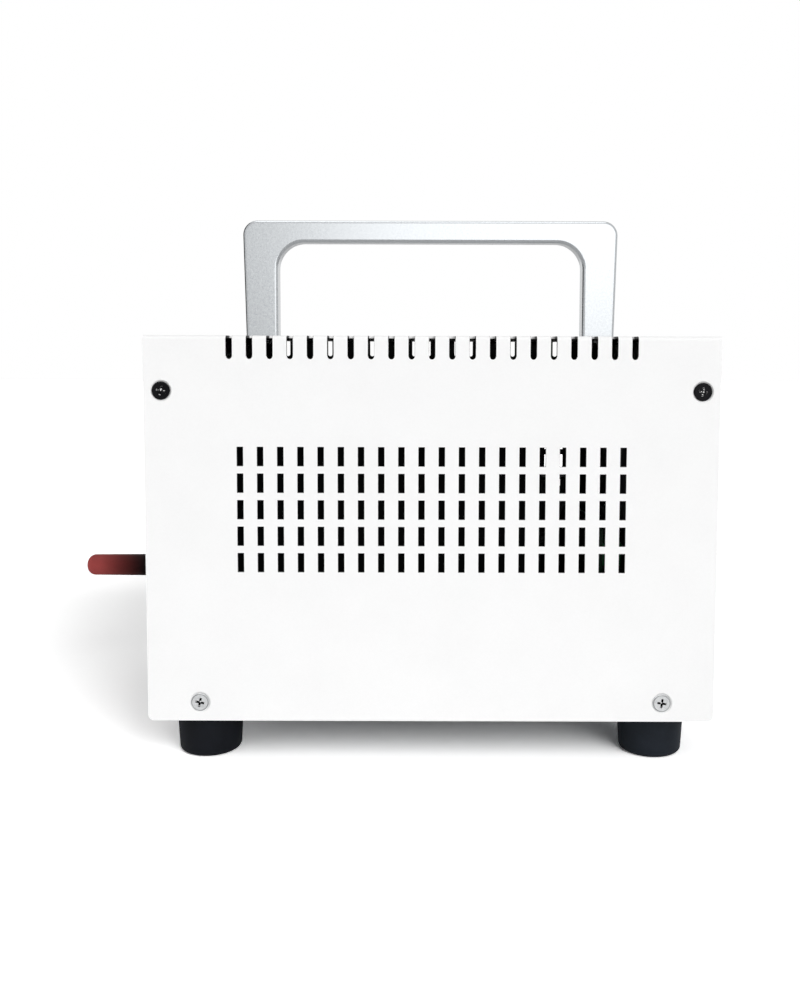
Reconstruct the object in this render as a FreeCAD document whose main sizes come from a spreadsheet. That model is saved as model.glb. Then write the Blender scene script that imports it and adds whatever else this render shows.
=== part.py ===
import FreeCAD, Part
import math
import os
import re
import Sketcher

# Bench-top reflow oven: a white sheet-metal case with a carrying handle, rubber feet, and a
# drawer that runs on telescopic rails into an insulated heating chamber.
# Millimetres, +Z up. The front, with the drawer, faces -Y. The origin is under the middle of
# the whole object, on the surface it stands on.

SIZES = {
    # white case
    "body_length": 285,
    "body_width": 225,
    "body_height": 193.7,
    "sheet": 1.2,
    "bend_radius": 2,
    "corner_radius": 3,
    "front_recess": 2,
    "rear_recess": 2,
    "panel_sheet": 1.2,
    "panel_flange": 16,
    "flange_gap": 1,
    "base_sheet": 1.5,
    "base_flange": 20,
    "base_boss": 9,
    "base_boss_height": 4,
    # slots in the case
    "slot_width": 3,
    "edge_slot_count": 21,
    "edge_slot_pitch": 10,
    "edge_slot_drop": 11.6,
    "edge_slot_run": 12,
    "vent_columns": 20,
    "vent_rows": 5,
    "vent_pitch": 10,
    "vent_row_pitch": 13.3,
    "vent_height": 9.5,
    "vent_top": 138.7,
    # rubber feet
    "foot_height": 23.3,
    "foot_top": 34.6,
    "foot_tip": 32,
    "foot_edge": 2.5,
    "foot_inset": 26.2,
    "foot_recess": 13,
    "foot_recess_height": 9,
    # screws
    "screw_fit": 0.05,
    "case_screw_head": 9,
    "case_screw_rise": 1.1,
    "case_screw_rim": 0.7,
    "case_screw_shank": 4,
    "case_screw_length": 9,
    "screw_dish": 10.6,
    "screw_dish_depth": 0.6,
    "cross_length": 4.6,
    "cross_width": 1.1,
    "cross_depth": 1.3,
    "upper_screw_inset": 8.8,
    "upper_screw_drop": 27.2,
    "lower_screw_inset": 26.2,
    "lower_screw_rise": 9.5,
    "bolt_head": 9.4,
    "bolt_rise": 3,
    "bolt_shank": 5,
    # carrying handle
    "handle_spacing": 200,
    "handle_leg": 19,
    "handle_flare": 1.7,
    "handle_height": 69.3,
    "handle_bar": 12.9,
    "handle_depth": 13,
    "handle_outer_radius": 8.5,
    "handle_inner_radius": 15.5,
    "handle_edge": 1.8,
    # heating chamber
    "chamber_width": 164,
    "chamber_gap": 0.9,
    "head_space": 75.7,
    "rear_bay": 83,
    "liner_sheet": 0.8,
    "liner_flange": 11,
    "insulation_side": 13,
    "insulation_top": 18,
    "insulation_floor": 10,
    "insulation_rear": 13,
    "jacket_sheet": 0.8,
    "runner_width": 14,
    "runner_inset": 45,
    "tube_diameter": 10,
    "tube_wall": 1.2,
    "tube_gap": 0.3,
    "upper_tube_drop": 12,
    "lower_tube_rise": 6,
    "tube_count": 3,
    "tube_inset": 30.5,
    "cap_diameter": 15,
    "cap_length": 10,
    "cap_socket": 6.5,
    "filament_diameter": 4.5,
    "probe_diameter": 3,
    "probe_reach": 35,
    "probe_across": 45,
    "probe_drop": 38,
    "gland_diameter": 10,
    "gland_length": 7,
    # drawer
    "mouth_sill": 2,
    "mouth_drop": 6,
    "drawer_lap_side": 10.5,
    "drawer_lap_low": 8,
    "drawer_lap_high": 10,
    "drawer_plate": 3,
    "drawer_corner": 4,
    "drawer_rim": 1,
    "seal_thickness": 2,
    "seal_margin": 2,
    "window_width": 110,
    "window_over_pull": 14.7,
    "window_drop": 6,
    "glass_lap": 2,
    "glass_thickness": 2,
    "tray_height": 16,
    "tray_rear_gap": 19.2,
    "tray_sheet": 1,
    "tray_ledge": 8,
    "rack_cross_wire": 3,
    "rack_wire": 2,
    "rack_sink": 0.5,
    "rack_count": 11,
    "tray_screw_across": 50,
    # telescopic rails
    "rail_space": 11.5,
    "rail_height": 22,
    "rail_sheet": 1.2,
    "rail_gap": 0.3,
    "rail_clear": 1,
    "rail_setback": 2,
    "rail_rear_gap": 16,
    # pull handle
    "pull_reach": 66,
    "pull_rise": 55.3,
    "grip_length": 36,
    "grip_root": 13,
    "grip_tip": 12.4,
    "grip_nose": 5,
    "stem_diameter": 7,
    "stem_depth": 24,
    "stem_head": 12,
    "stem_head_length": 4,
    "stem_head_clear": 1,
    "spacer_diameter": 10.5,
    # control panel
    "fascia_width": 196,
    "fascia_height": 54,
    "fascia_drop": 7.7,
    "fascia_thickness": 1.5,
    "fascia_corner": 4,
    "display_across": -43,
    "display_lift": 4,
    "display_width": 78,
    "display_height": 34,
    "display_rim": 2,
    "board_gap": 8,
    "board_thickness": 1.6,
    "board_height": 42,
    "board_half": 96,
    "spacer_inset": 4,
    "spacer_width": 6,
    "button_count": 4,
    "button_first": 22,
    "button_pitch": 20,
    "button_sink": 1,
    "button_diameter": 11,
    "button_proud": 1.9,
    "button_edge": 0.8,
    "button_flange": 14,
    "button_flange_thickness": 1.2,
    "button_gap": 0.3,
    "button_stem": 3.5,
    "button_insert": 1.6,
    "switch_side": 6.2,
    "switch_height": 4.5,
    "switch_bore_depth": 3.6,
    # rear fan
    "fan_across": 48,
    "fan_rise": 112,
    "fan_side": 80,
    "fan_depth": 25,
    "fan_rim": 2,
    "fan_hole_inset": 4.25,
    "fan_hub": 32,
    "fan_hub_gap": 0.6,
    "fan_motor": 34,
    "fan_strut": 5,
    "fan_strut_thickness": 3.5,
    "fan_shaft": 3,
    "fan_tip_gap": 3,
    "fan_blades": 7,
    "fan_blade_sweep": 15,
    "fan_blade_height": 17,
    "fan_blade_thickness": 2,
    "guard_reach": 6,
    "guard_wire": 1.8,
    "guard_rings": 4,
    "guard_first_ring": 10,
    "guard_rim_gap": 1,
    "guard_eye": 8.5,
    "guard_eye_thickness": 2,
    "guard_weld": 0.6,
    "guard_post": 1.7,
    "guard_knee": 1.84,
    # mains inlet and rocker switch
    "inlet_across": -58,
    "inlet_rise": 42,
    "inlet_flange_width": 50,
    "inlet_flange_height": 25,
    "inlet_flange_thickness": 2.5,
    "inlet_body_width": 28,
    "inlet_body_height": 20,
    "inlet_body_depth": 19,
    "inlet_wall": 1.8,
    "inlet_depth": 17,
    "inlet_hole_spacing": 40,
    "pin_width": 2,
    "pin_height": 4,
    "pin_length": 11,
    "pin_tab": 5,
    "pin_spacing": 7,
    "pin_offset": 2,
    "rocker_across": -58,
    "rocker_rise": 84,
    "rocker_bezel_width": 17.5,
    "rocker_bezel_height": 24,
    "rocker_bezel_thickness": 2,
    "rocker_body_width": 15,
    "rocker_body_height": 20.5,
    "rocker_body_depth": 16,
    "rocker_wall": 1.5,
    "rocker_well": 12,
    "rocker_clearance": 0.3,
    "rocker_pivot_depth": 1.2,
    "rocker_pivot": 2.4,
    "rocker_pivot_reach": 1,
    "rocker_end_gap": 0.65,
    "rocker_lift": 1.4,
    "rocker_tilt": 10,
    # power supply
    "bracket_setback": 22,
    "bracket_height": 100,
    "bracket_gap": 5.8,
    "bracket_sheet": 1.2,
    "bracket_foot": 14,
    "power_low": 14,
    "power_high": 94,
    "power_half": 92,
    "transformer_width": 40,
    "transformer_height": 34,
    "transformer_depth": 20,
    "transformer_across": -5,
    "transformer_low": 20,
    "transformer_core": 14,
    "relay_across": 52,
    "relay_width": 44,
    "relay_low": 20,
    "relay_height": 30,
    "relay_depth": 8,
    "heatsink_height": 44,
    "heatsink_base": 3,
    "heatsink_depth": 13,
    "heatsink_fins": 9,
    "heatsink_fin": 1.2,
    "terminal_across": 66,
    "terminal_width": 40,
    "terminal_low": 74,
    "terminal_height": 12,
    "terminal_depth": 11,
    "terminal_ways": 5,
    "terminal_way": 5,
    "lead_diameter": 3,
    "lead_out": 11,
    "lead_over": 6,
    "lead_reach": 9,
    "lead_shift": 5,
    "lead_rise": 20,
    "lead_drop": 14,
    "rocker_tab": 3,
    "ribbon_width": 20,
    "ribbon_across": -50,
    "ribbon_thickness": 1.2,
    "ribbon_clear": 4,
    "cut_over": 1,
}

doc = FreeCAD.newDocument("reflow_oven")
sheet = doc.addObject("Spreadsheet::Sheet", "Sizes")
for row, (size_name, size) in enumerate(SIZES.items(), 1):
    sheet.set(f"A{row}", str(size))
    sheet.setAlias(f"A{row}", size_name)
doc.recompute()

pieces = []


def formula(text):
    """The text with each size named as its cell in the sheet."""
    def cell(word):
        return f"Sizes.{word[0]}" if word[0] in SIZES else word[0]

    return re.sub(r"[A-Za-z_]\w*", cell, str(text))


def value(text):
    return float(sheet.evalExpression(formula(text)))


def count(size_name):
    return int(round(value(size_name)))


def bind(thing, prop, text):
    thing.setExpression(prop, formula(text))


def place(thing, x, y, z, turn=None):
    if turn is not None:
        thing.Placement = FreeCAD.Placement(FreeCAD.Vector(), turn)
    for axis, text in zip("xyz", (x, y, z)):
        bind(thing, f"Placement.Base.{axis}", text)


def piece(label, thing):
    """Keeps a finished object as the sub-part of that name."""
    thing.Label = label
    pieces.append(thing)
    return thing


# Plain solids and booleans.


def block(x, y, z):
    """A box between two bounds on each axis."""
    box = doc.addObject("Part::Box", "block")
    for prop, (low, high) in zip(("Length", "Width", "Height"), (x, y, z)):
        bind(box, prop, f"({high}) - ({low})")
    place(box, x[0], y[0], z[0])
    return box


def rod(start, direction, length, diameter):
    """A round bar from a point, along a direction."""
    bar = doc.addObject("Part::Cylinder", "rod")
    turn = FreeCAD.Rotation(FreeCAD.Vector(0, 0, 1), FreeCAD.Vector(*direction))
    place(bar, *start, turn)
    bind(bar, "Radius", f"({diameter}) / 2")
    bind(bar, "Height", length)
    return bar


def join(shapes):
    both = doc.addObject("Part::MultiFuse", "join")
    both.Shapes = shapes
    both.Refine = True
    return both


def group(shapes):
    several = doc.addObject("Part::Compound", "group")
    several.Links = shapes
    return several


def cut(base, tools):
    rest = doc.addObject("Part::Cut", "cut")
    rest.Base = base
    rest.Tool = tools[0] if len(tools) == 1 else group(tools)
    rest.Refine = True
    return rest


def middle(centre, width):
    """The two bounds of a width about a centre."""
    return f"({centre}) - ({width}) / 2", f"({centre}) + ({width}) / 2"


# Bodies made from sketches.

PLANE_SIDE = {"XY_Plane": 1, "XZ_Plane": -1, "YZ_Plane": 1}


def new_body(name):
    return doc.addObject("PartDesign::Body", name)


def sketch(body, plane, at, loops):
    """Closed outlines on one of the body's planes, moved along that plane's axis. An outline is a
    list of corners, or a circle given as its centre and diameter."""
    drawing = body.newObject("Sketcher::SketchObject", "sketch")
    support = [one for one in body.Origin.OriginFeatures if one.Role == plane][0]
    drawing.AttachmentSupport = (support, "")
    drawing.MapMode = "FlatFace"
    bind(drawing, "AttachmentOffset.Base.z", f"{PLANE_SIDE[plane]} * ({at})")
    for loop in loops:
        if isinstance(loop, tuple):
            across, up, diameter = loop
            spot = FreeCAD.Vector(value(across), value(up), 0)
            ring = Part.Circle(spot, FreeCAD.Vector(0, 0, 1), value(diameter) / 2)
            edge = drawing.addGeometry(ring)
            pin_point(drawing, edge, 3, across, up)
            rule = drawing.addConstraint(Sketcher.Constraint("Diameter", edge, value(diameter)))
            bind(drawing, f"Constraints[{rule}]", diameter)
            continue
        spots = [FreeCAD.Vector(value(across), value(up), 0) for across, up in loop]
        edges = []
        for start, end in zip(spots, spots[1:] + spots[:1]):
            edges.append(drawing.addGeometry(Part.LineSegment(start, end)))
        for edge, following in zip(edges, edges[1:] + edges[:1]):
            drawing.addConstraint(Sketcher.Constraint("Coincident", edge, 2, following, 1))
        for edge, (across, up) in zip(edges, loop):
            pin_point(drawing, edge, 1, across, up)
    return drawing


def pin_point(drawing, edge, point, across, up):
    for kind, text in (("DistanceX", across), ("DistanceY", up)):
        rule = drawing.addConstraint(Sketcher.Constraint(kind, -1, 1, edge, point, value(text)))
        bind(drawing, f"Constraints[{rule}]", text)


def pad(body, plane, at, length, loops):
    """Adds the outlines, from their plane towards the positive side of its axis."""
    solid = body.newObject("PartDesign::Pad", "pad")
    solid.Profile = sketch(body, plane, at, loops)
    bind(solid, "Length", length)
    solid.Reversed = PLANE_SIDE[plane] < 0
    doc.recompute()
    return solid


def pocket(body, plane, at, length, loops):
    """Takes the outlines away, from their plane towards the positive side of its axis."""
    before = body.Shape.Volume
    hollow = body.newObject("PartDesign::Pocket", "pocket")
    hollow.Profile = sketch(body, plane, at, loops)
    bind(hollow, "Length", length)
    hollow.Reversed = PLANE_SIDE[plane] > 0
    doc.recompute()
    if body.Shape.Volume >= before:
        raise ValueError(f"{body.Label}: a pocket cut nothing")
    return hollow


def through(body, plane, loops):
    """Takes the outlines away, right through on both sides of their plane."""
    before = body.Shape.Volume
    hollow = body.newObject("PartDesign::Pocket", "pocket")
    hollow.Profile = sketch(body, plane, "0", loops)
    hollow.Type = "ThroughAll"
    hollow.Midplane = True
    doc.recompute()
    if body.Shape.Volume >= before:
        raise ValueError(f"{body.Label}: a hole cut nothing")
    return hollow


def turned(body, profile):
    """Adds a round solid about Z from a half profile of radius and height."""
    solid = body.newObject("PartDesign::Revolution", "turned")
    solid.Profile = sketch(body, "XZ_Plane", "0", [profile])
    solid.ReferenceAxis = (solid.Profile[0], ["V_Axis"])
    solid.Angle = 360
    doc.recompute()
    return solid


def edges_where(shape, test):
    """Names of the edges whose two end points pass the test."""
    names = []
    for number, edge in enumerate(shape.Edges, 1):
        start, end = edge.Vertexes[0].Point, edge.Vertexes[-1].Point
        if test(start, end):
            names.append(f"Edge{number}")
    return names


def round_edges(body, radius, test):
    base = body.Tip
    rounding = body.newObject("PartDesign::Fillet", "rounding")
    rounding.Base = (base, edges_where(base.Shape, test))
    bind(rounding, "Radius", radius)
    doc.recompute()
    return rounding


SAME_PLACE = 0.001


def same(first, second):
    return abs(first - second) < SAME_PLACE


def along_x(height):
    """A test for the edges that run along X at a height."""
    return lambda a, b: same(a.z, height) and same(b.z, height) and same(a.y, b.y)


def along_y(height):
    """A test for the edges that run along Y at a height."""
    return lambda a, b: same(a.z, height) and same(b.z, height) and same(a.x, b.x)


def through_plate(a, b):
    """A test for the corner edges of an upright plate, which run along Y."""
    return same(a.x, b.x) and same(a.z, b.z) and not same(a.y, b.y)


def rim_at(height, radius=None):
    """A test for the round edges of a turned piece at a height, all or those of one radius."""
    def test(a, b):
        round_there = same(a.z, height) and same(a.x, b.x) and a.x > SAME_PLACE
        return round_there and (radius is None or same(a.x, radius))

    return test


def rectangle(across, up):
    return [(across[0], up[0]), (across[1], up[0]), (across[1], up[1]), (across[0], up[1])]


# Places that the pieces share.

MID = "((pull_reach - guard_reach + rear_recess) / 2)"
FRONT = f"({MID} - body_length / 2)"
REAR = f"({MID} + body_length / 2)"
PANEL_FACE = f"({FRONT} + front_recess)"
PANEL_BACK = f"({PANEL_FACE} + panel_sheet)"
REAR_FACE = f"({REAR} - rear_recess)"
REAR_BACK = f"({REAR_FACE} - panel_sheet)"
SIDE = "(body_width / 2)"
INSIDE = "(body_width / 2 - sheet)"
FLOOR = "foot_height"
BOSS_TOP = "(foot_height + base_sheet + base_boss_height)"
TOP = "(foot_height + body_height)"
UPPER_SCREW_Y = [f"{FRONT} + upper_screw_inset", f"{REAR} - upper_screw_inset"]
LOWER_SCREW_Y = [f"{FRONT} + lower_screw_inset", f"{REAR} - lower_screw_inset"]
UPPER_SCREW_Z = f"{TOP} - upper_screw_drop"
LOWER_SCREW_Z = f"{FLOOR} + lower_screw_rise"
SHANK_HOLE = "case_screw_shank + 2 * screw_fit"
BOLT_HOLE = "bolt_shank + 2 * screw_fit"
BOLT_LENGTH = "(foot_height - foot_recess_height + base_sheet + base_boss_height)"
FEET = [
    (f"{x} * ({SIDE} - foot_inset)", f"{MID} + {y} * (body_length / 2 - foot_inset)")
    for x in (-1, 1)
    for y in (-1, 1)
]


def pan_screw(name, head, rise, rim, shank, length):
    """A pan-head screw with a cross recess: the seat of its head is at its origin, and its head
    points along +Z."""
    screw = new_body(name)
    turned(screw, [
        ("0", f"-({length})"),
        (f"({shank}) / 2", f"-({length})"),
        (f"({shank}) / 2", "0"),
        (f"({head}) / 2", "0"),
        (f"({head}) / 2", rim),
        (f"({head}) / 2 - ({rise} - {rim})", rise),
        ("0", rise),
    ])
    wide, thin = middle("0", "cross_length"), middle("0", "cross_width")
    cross = [
        (wide[0], thin[0]), (thin[0], thin[0]), (thin[0], wide[0]), (thin[1], wide[0]),
        (thin[1], thin[0]), (wide[1], thin[0]), (wide[1], thin[1]), (thin[1], thin[1]),
        (thin[1], wide[1]), (thin[0], wide[1]), (thin[0], thin[1]), (wide[0], thin[1]),
    ]
    pocket(screw, "XY_Plane", f"{rise} - cross_depth", "cross_depth + cut_over", [cross])
    return screw


# Degrees that the screws happen to stand at after tightening.
SCREW_SPINS = (14, 5, 13, 8)


def copies(label, master, spots):
    """One node of separate like solids, each at a place and with its head pointing one way."""
    links = []
    for number, (where, direction) in enumerate(spots):
        link = doc.addObject("App::Link", "copy")
        link.LinkedObject = master
        aim = FreeCAD.Rotation(FreeCAD.Vector(0, 0, 1), FreeCAD.Vector(*direction))
        spin = FreeCAD.Rotation(FreeCAD.Vector(0, 0, 1), -SCREW_SPINS[number % len(SCREW_SPINS)])
        place(link, *where, aim * spin)
        links.append(link)
    return piece(label, group(links))


# The cover: one folded white sheet that makes both long sides and the top, with slots over its
# two upper bends and a field of vents in each side.


def screw_dish(sign, y, z):
    """The shallow cone that one screw's head sits in, out to a little past the sheet's face."""
    dish = doc.addObject("Part::Cone", "dish")
    turn = FreeCAD.Rotation(FreeCAD.Vector(0, 0, 1), FreeCAD.Vector(sign, 0, 0))
    place(dish, f"{sign} * ({SIDE} - screw_dish_depth)", y, z, turn)
    seat = "(case_screw_head / 2 + screw_fit)"
    bind(dish, "Radius1", seat)
    bind(dish, "Radius2", f"{seat} + 2 * (screw_dish / 2 - {seat})")
    bind(dish, "Height", "2 * screw_dish_depth")
    return dish


def make_cover():
    cover = new_body("cover_body")
    place(cover, "0", MID, FLOOR)
    half, inside = "body_width / 2", "body_width / 2 - sheet"
    under = "body_height - sheet"
    pad(cover, "XZ_Plane", "-body_length / 2", "body_length", [[
        (f"-({half})", "0"), (f"-({half})", "body_height"), (half, "body_height"), (half, "0"),
        (inside, "0"), (inside, under), (f"-({inside})", under), (f"-({inside})", "0"),
    ]])
    high, low = value("body_height"), value(under)
    round_edges(cover, "bend_radius", along_y(high))
    round_edges(cover, "bend_radius - sheet", along_y(low))
    round_edges(cover, "corner_radius", along_x(0))

    holes = []
    for sign in (-1, 1):
        upper_y = f"{sign} * (body_length / 2 - upper_screw_inset)"
        lower_y = f"{sign} * (body_length / 2 - lower_screw_inset)"
        holes.append((upper_y, "body_height - upper_screw_drop", SHANK_HOLE))
        holes.append((lower_y, "lower_screw_rise", SHANK_HOLE))
    through(cover, "YZ_Plane", holes)
    bolts = [("0", f"{sign} * handle_spacing / 2", BOLT_HOLE) for sign in (-1, 1)]
    pocket(cover, "XY_Plane", f"{under} - cut_over", "sheet + 2 * cut_over", bolts)

    first = "-(edge_slot_count - 1) * edge_slot_pitch / 2"
    end_x = "body_width / 2 - edge_slot_run + slot_width / 2"
    end_z = "body_height - edge_slot_drop + slot_width / 2"
    sides = []
    for sign in (1, -1):
        across = (f"{sign} * ({end_x})", f"{sign} * ({half} + cut_over)")
        sides.append(rectangle(across, (end_z, "body_height + cut_over")))
    slot = pocket(cover, "XZ_Plane", f"{first} - slot_width / 2", "slot_width", sides)
    foot_end = through(cover, "YZ_Plane", [(first, end_z, "slot_width")])
    tops = [(f"{sign} * ({end_x})", first, "slot_width") for sign in (1, -1)]
    top_end = pocket(cover, "XY_Plane", f"{under} - cut_over", "sheet + 2 * cut_over", tops)
    row = cover.newObject("PartDesign::LinearPattern", "edge_slots")
    row.Originals = [slot, foot_end, top_end]
    row.Direction = (foot_end.Profile[0], ["H_Axis"])
    bind(row, "Length", "(edge_slot_count - 1) * edge_slot_pitch")
    row.Occurrences = count("edge_slot_count")
    cover.Tip = row
    doc.recompute()

    column = middle("-(vent_columns - 1) * vent_pitch / 2", "slot_width")
    bottom = "vent_top - vent_height - (vent_rows - 1) * vent_row_pitch"
    vent = through(cover, "YZ_Plane", [rectangle(column, (bottom, f"{bottom} + vent_height"))])
    field = cover.newObject("PartDesign::LinearPattern", "vents")
    field.Originals = [vent]
    field.Direction = (vent.Profile[0], ["H_Axis"])
    field.Direction2 = (vent.Profile[0], ["V_Axis"])
    bind(field, "Length", "(vent_columns - 1) * vent_pitch")
    bind(field, "Length2", "(vent_rows - 1) * vent_row_pitch")
    field.Occurrences = count("vent_columns")
    field.Occurrences2 = count("vent_rows")
    cover.Tip = field
    doc.recompute()

    dishes = []
    for sign in (-1, 1):
        for y, z in ((UPPER_SCREW_Y, UPPER_SCREW_Z), (LOWER_SCREW_Y, LOWER_SCREW_Z)):
            dishes += [screw_dish(sign, where, z) for where in y]
    piece("cover", cut(cover, dishes))


make_cover()


# The base pan: the floor of the case, with its two long edges folded up inside the cover and
# a pressed-in threaded boss over each foot.


def make_base_pan():
    base = new_body("base_body")
    place(base, "0", "0", FLOOR)
    inner = f"{INSIDE} - base_sheet"
    length = f"{REAR_BACK} - {PANEL_BACK}"
    pad(base, "XZ_Plane", PANEL_BACK, length, [[
        (f"-({INSIDE})", "0"), (INSIDE, "0"), (INSIDE, "base_flange"), (inner, "base_flange"),
        (inner, "base_sheet"), (f"-({inner})", "base_sheet"), (f"-({inner})", "base_flange"),
        (f"-({INSIDE})", "base_flange"),
    ]])
    round_edges(base, "bend_radius", along_y(0))
    pad(base, "XY_Plane", "base_sheet", "base_boss_height", [(x, y, "base_boss") for x, y in FEET])
    pocket(base, "XY_Plane", "-cut_over", "base_sheet + base_boss_height + 2 * cut_over",
           [(x, y, BOLT_HOLE) for x, y in FEET])
    through(base, "YZ_Plane", [(y, "lower_screw_rise", SHANK_HOLE) for y in LOWER_SCREW_Y])
    piece("base_pan", base)


make_base_pan()


# Front and rear panels: flat plates inside the cover's ends, with flanges along the sides for
# the upper screws. The front one has the openings of the drawer, display and buttons, the rear
# one those of the fan, mains inlet and rocker switch.

LINER_FLOOR = f"({BOSS_TOP} + chamber_gap + jacket_sheet + insulation_floor + liner_sheet)"
LINER_TOP = f"({TOP} - head_space)"
MOUTH_LOW = f"({LINER_FLOOR} + mouth_sill)"
MOUTH_HIGH = f"({LINER_TOP} - mouth_drop)"
CHAMBER_X = ("-chamber_width / 2", "chamber_width / 2")
FASCIA_MID = f"({TOP} - fascia_drop - fascia_height / 2)"
DISPLAY_MID = f"({FASCIA_MID} + display_lift)"
DISPLAY_X = middle("display_across", "display_width")
DISPLAY_Z = middle(DISPLAY_MID, "display_height")
BUTTON_X = [f"button_first + {number} * button_pitch" for number in range(count("button_count"))]
BUTTON_Z = f"({FASCIA_MID} - button_sink)"
BUTTON_HOLE = "button_diameter + 2 * button_gap"
FAN_Z = f"{FLOOR} + fan_rise"
FAN_BORE = "(fan_side - 2 * fan_rim)"
FAN_SPACING = "(fan_side - 2 * fan_hole_inset)"
FAN_CORNERS = [(x, z) for x in (-1, 1) for z in (-1, 1)]
INLET_X = middle("inlet_across", "inlet_body_width")
INLET_Z = middle(f"{FLOOR} + inlet_rise", "inlet_body_height")
ROCKER_X = middle("rocker_across", "rocker_body_width")
ROCKER_Z = middle(f"{FLOOR} + rocker_rise", "rocker_body_height")


def fan_hole(x, z):
    return f"fan_across + {x} * {FAN_SPACING} / 2", f"{FAN_Z} + {z} * {FAN_SPACING} / 2"


def panel_with_flanges(face, back, flange, screw_y):
    plate = block((f"-{INSIDE}", INSIDE), (face, back), (FLOOR, f"{TOP} - sheet"))
    upright = (f"{FLOOR} + base_flange + flange_gap", f"{TOP} - sheet - bend_radius")
    inner = f"{INSIDE} - panel_sheet"
    left = block((f"-{INSIDE}", f"-({inner})"), flange, upright)
    right = block((inner, INSIDE), flange, upright)
    cuts = [rod((f"-{SIDE}", screw_y, UPPER_SCREW_Z), (1, 0, 0), "body_width", SHANK_HOLE)]
    deep = (f"{face} - cut_over", f"{back} + cut_over")
    notch, above = f"{INSIDE} - (bend_radius - sheet)", f"{INSIDE} + cut_over"
    bend = (f"{TOP} - bend_radius", TOP)
    cuts.append(block((notch, above), deep, bend))
    cuts.append(block((f"-({above})", f"-({notch})"), deep, bend))
    return join([plate, left, right]), cuts


def make_panels():
    plate, cuts = panel_with_flanges(
        PANEL_FACE, PANEL_BACK, (PANEL_BACK, f"{PANEL_BACK} + panel_flange"), UPPER_SCREW_Y[0])
    deep = (f"{PANEL_FACE} - cut_over", f"{PANEL_BACK} + cut_over")
    cuts += [block(CHAMBER_X, deep, (MOUTH_LOW, MOUTH_HIGH)), block(DISPLAY_X, deep, DISPLAY_Z)]
    for x in BUTTON_X:
        cuts.append(rod((x, deep[0], BUTTON_Z), (0, 1, 0), "panel_sheet + 2 * cut_over", BUTTON_HOLE))
    piece("front_panel", cut(plate, cuts))

    plate, cuts = panel_with_flanges(
        REAR_BACK, REAR_FACE, (f"{REAR_BACK} - panel_flange", REAR_BACK), UPPER_SCREW_Y[1])
    deep = (f"{REAR_BACK} - cut_over", f"{REAR_FACE} + cut_over")
    length = "panel_sheet + 2 * cut_over"
    cuts += [block(INLET_X, deep, INLET_Z), block(ROCKER_X, deep, ROCKER_Z)]
    cuts.append(rod(("fan_across", deep[0], FAN_Z), (0, 1, 0), length, FAN_BORE))
    for corner in FAN_CORNERS:
        x, z = fan_hole(*corner)
        cuts.append(rod((x, deep[0], z), (0, 1, 0), length, SHANK_HOLE))
    for x in middle("inlet_across", "inlet_hole_spacing"):
        cuts.append(rod((x, deep[0], f"{FLOOR} + inlet_rise"), (0, 1, 0), length, SHANK_HOLE))
    piece("rear_panel", cut(plate, cuts))


make_panels()


# The carrying handle: a satin aluminium bow, screwed on from inside the cover.


def make_carry_handle():
    handle = new_body("handle_body")
    place(handle, "0", MID, TOP)
    outer, inner = middle("handle_spacing / 2", "handle_leg")[::-1]
    wide = f"{outer} + handle_flare"
    under = "handle_height - handle_bar"
    pad(handle, "YZ_Plane", "-handle_depth / 2", "handle_depth", [[
        (f"-({outer})", "0"), (f"-({wide})", "handle_height"), (wide, "handle_height"), (outer, "0"),
        (inner, "0"), (inner, under), (f"-({inner})", under), (f"-({inner})", "0"),
    ]])
    high, low = value("handle_height"), value(under)
    round_edges(handle, "handle_outer_radius", along_x(high))
    round_edges(handle, "handle_inner_radius", along_x(low))
    face = value("handle_depth / 2")

    def outline(a, b):
        return same(abs(a.x), face) and same(a.x, b.x) and not (same(a.z, 0) and same(b.z, 0))

    round_edges(handle, "handle_edge", outline)
    pocket(handle, "XY_Plane", "-cut_over", f"{BOLT_LENGTH} - sheet + 2 * cut_over",
           [("0", f"{sign} * handle_spacing / 2", BOLT_HOLE) for sign in (-1, 1)])
    piece("carry_handle", handle)


make_carry_handle()


# Screws of the case: four black ones through the cover into the panels, and four bright ones
# near the floor into the base pan.


def make_case_screws():
    screw = pan_screw("case_screw", "case_screw_head", "case_screw_rise", "case_screw_rim",
                      "case_screw_shank", "case_screw_length")
    for label, spots_y, z in (("cover_screws", UPPER_SCREW_Y, UPPER_SCREW_Z),
                              ("base_screws", LOWER_SCREW_Y, LOWER_SCREW_Z)):
        spots = []
        for sign in (-1, 1):
            spots += [((f"{sign} * ({SIDE} - screw_dish_depth)", y, z), (sign, 0, 0)) for y in spots_y]
        copies(label, screw, spots)


make_case_screws()


# Feet: four turned rubber feet, each held by a bolt from below into the base pan's boss. Two more
# of the same bolts hold the carrying handle from inside the cover.

FOOT_NAMES = ("foot_front_left", "foot_rear_left", "foot_front_right", "foot_rear_right")


def make_feet():
    for label, (x, y) in zip(FOOT_NAMES, FEET):
        foot = new_body(f"{label}_body")
        place(foot, x, y, "0")
        turned(foot, [
            ("foot_recess / 2", "0"), ("foot_tip / 2", "0"), ("foot_top / 2", "foot_height"),
            (f"({BOLT_HOLE}) / 2", "foot_height"), (f"({BOLT_HOLE}) / 2", "foot_recess_height"),
            ("foot_recess / 2", "foot_recess_height"),
        ])
        round_edges(foot, "foot_edge", rim_at(0, value("foot_tip / 2")))
        piece(label, foot)


def make_bolts():
    bolt = pan_screw("bolt", "bolt_head", "bolt_rise", "bolt_rise / 2", "bolt_shank", BOLT_LENGTH)
    spots = [((x, y, "foot_recess_height"), (0, 0, -1)) for x, y in FEET]
    for sign in (-1, 1):
        spots.append((("0", f"{MID} + {sign} * handle_spacing / 2", f"{TOP} - sheet"), (0, 0, -1)))
    copies("case_bolts", bolt, spots)


make_feet()
make_bolts()


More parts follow.
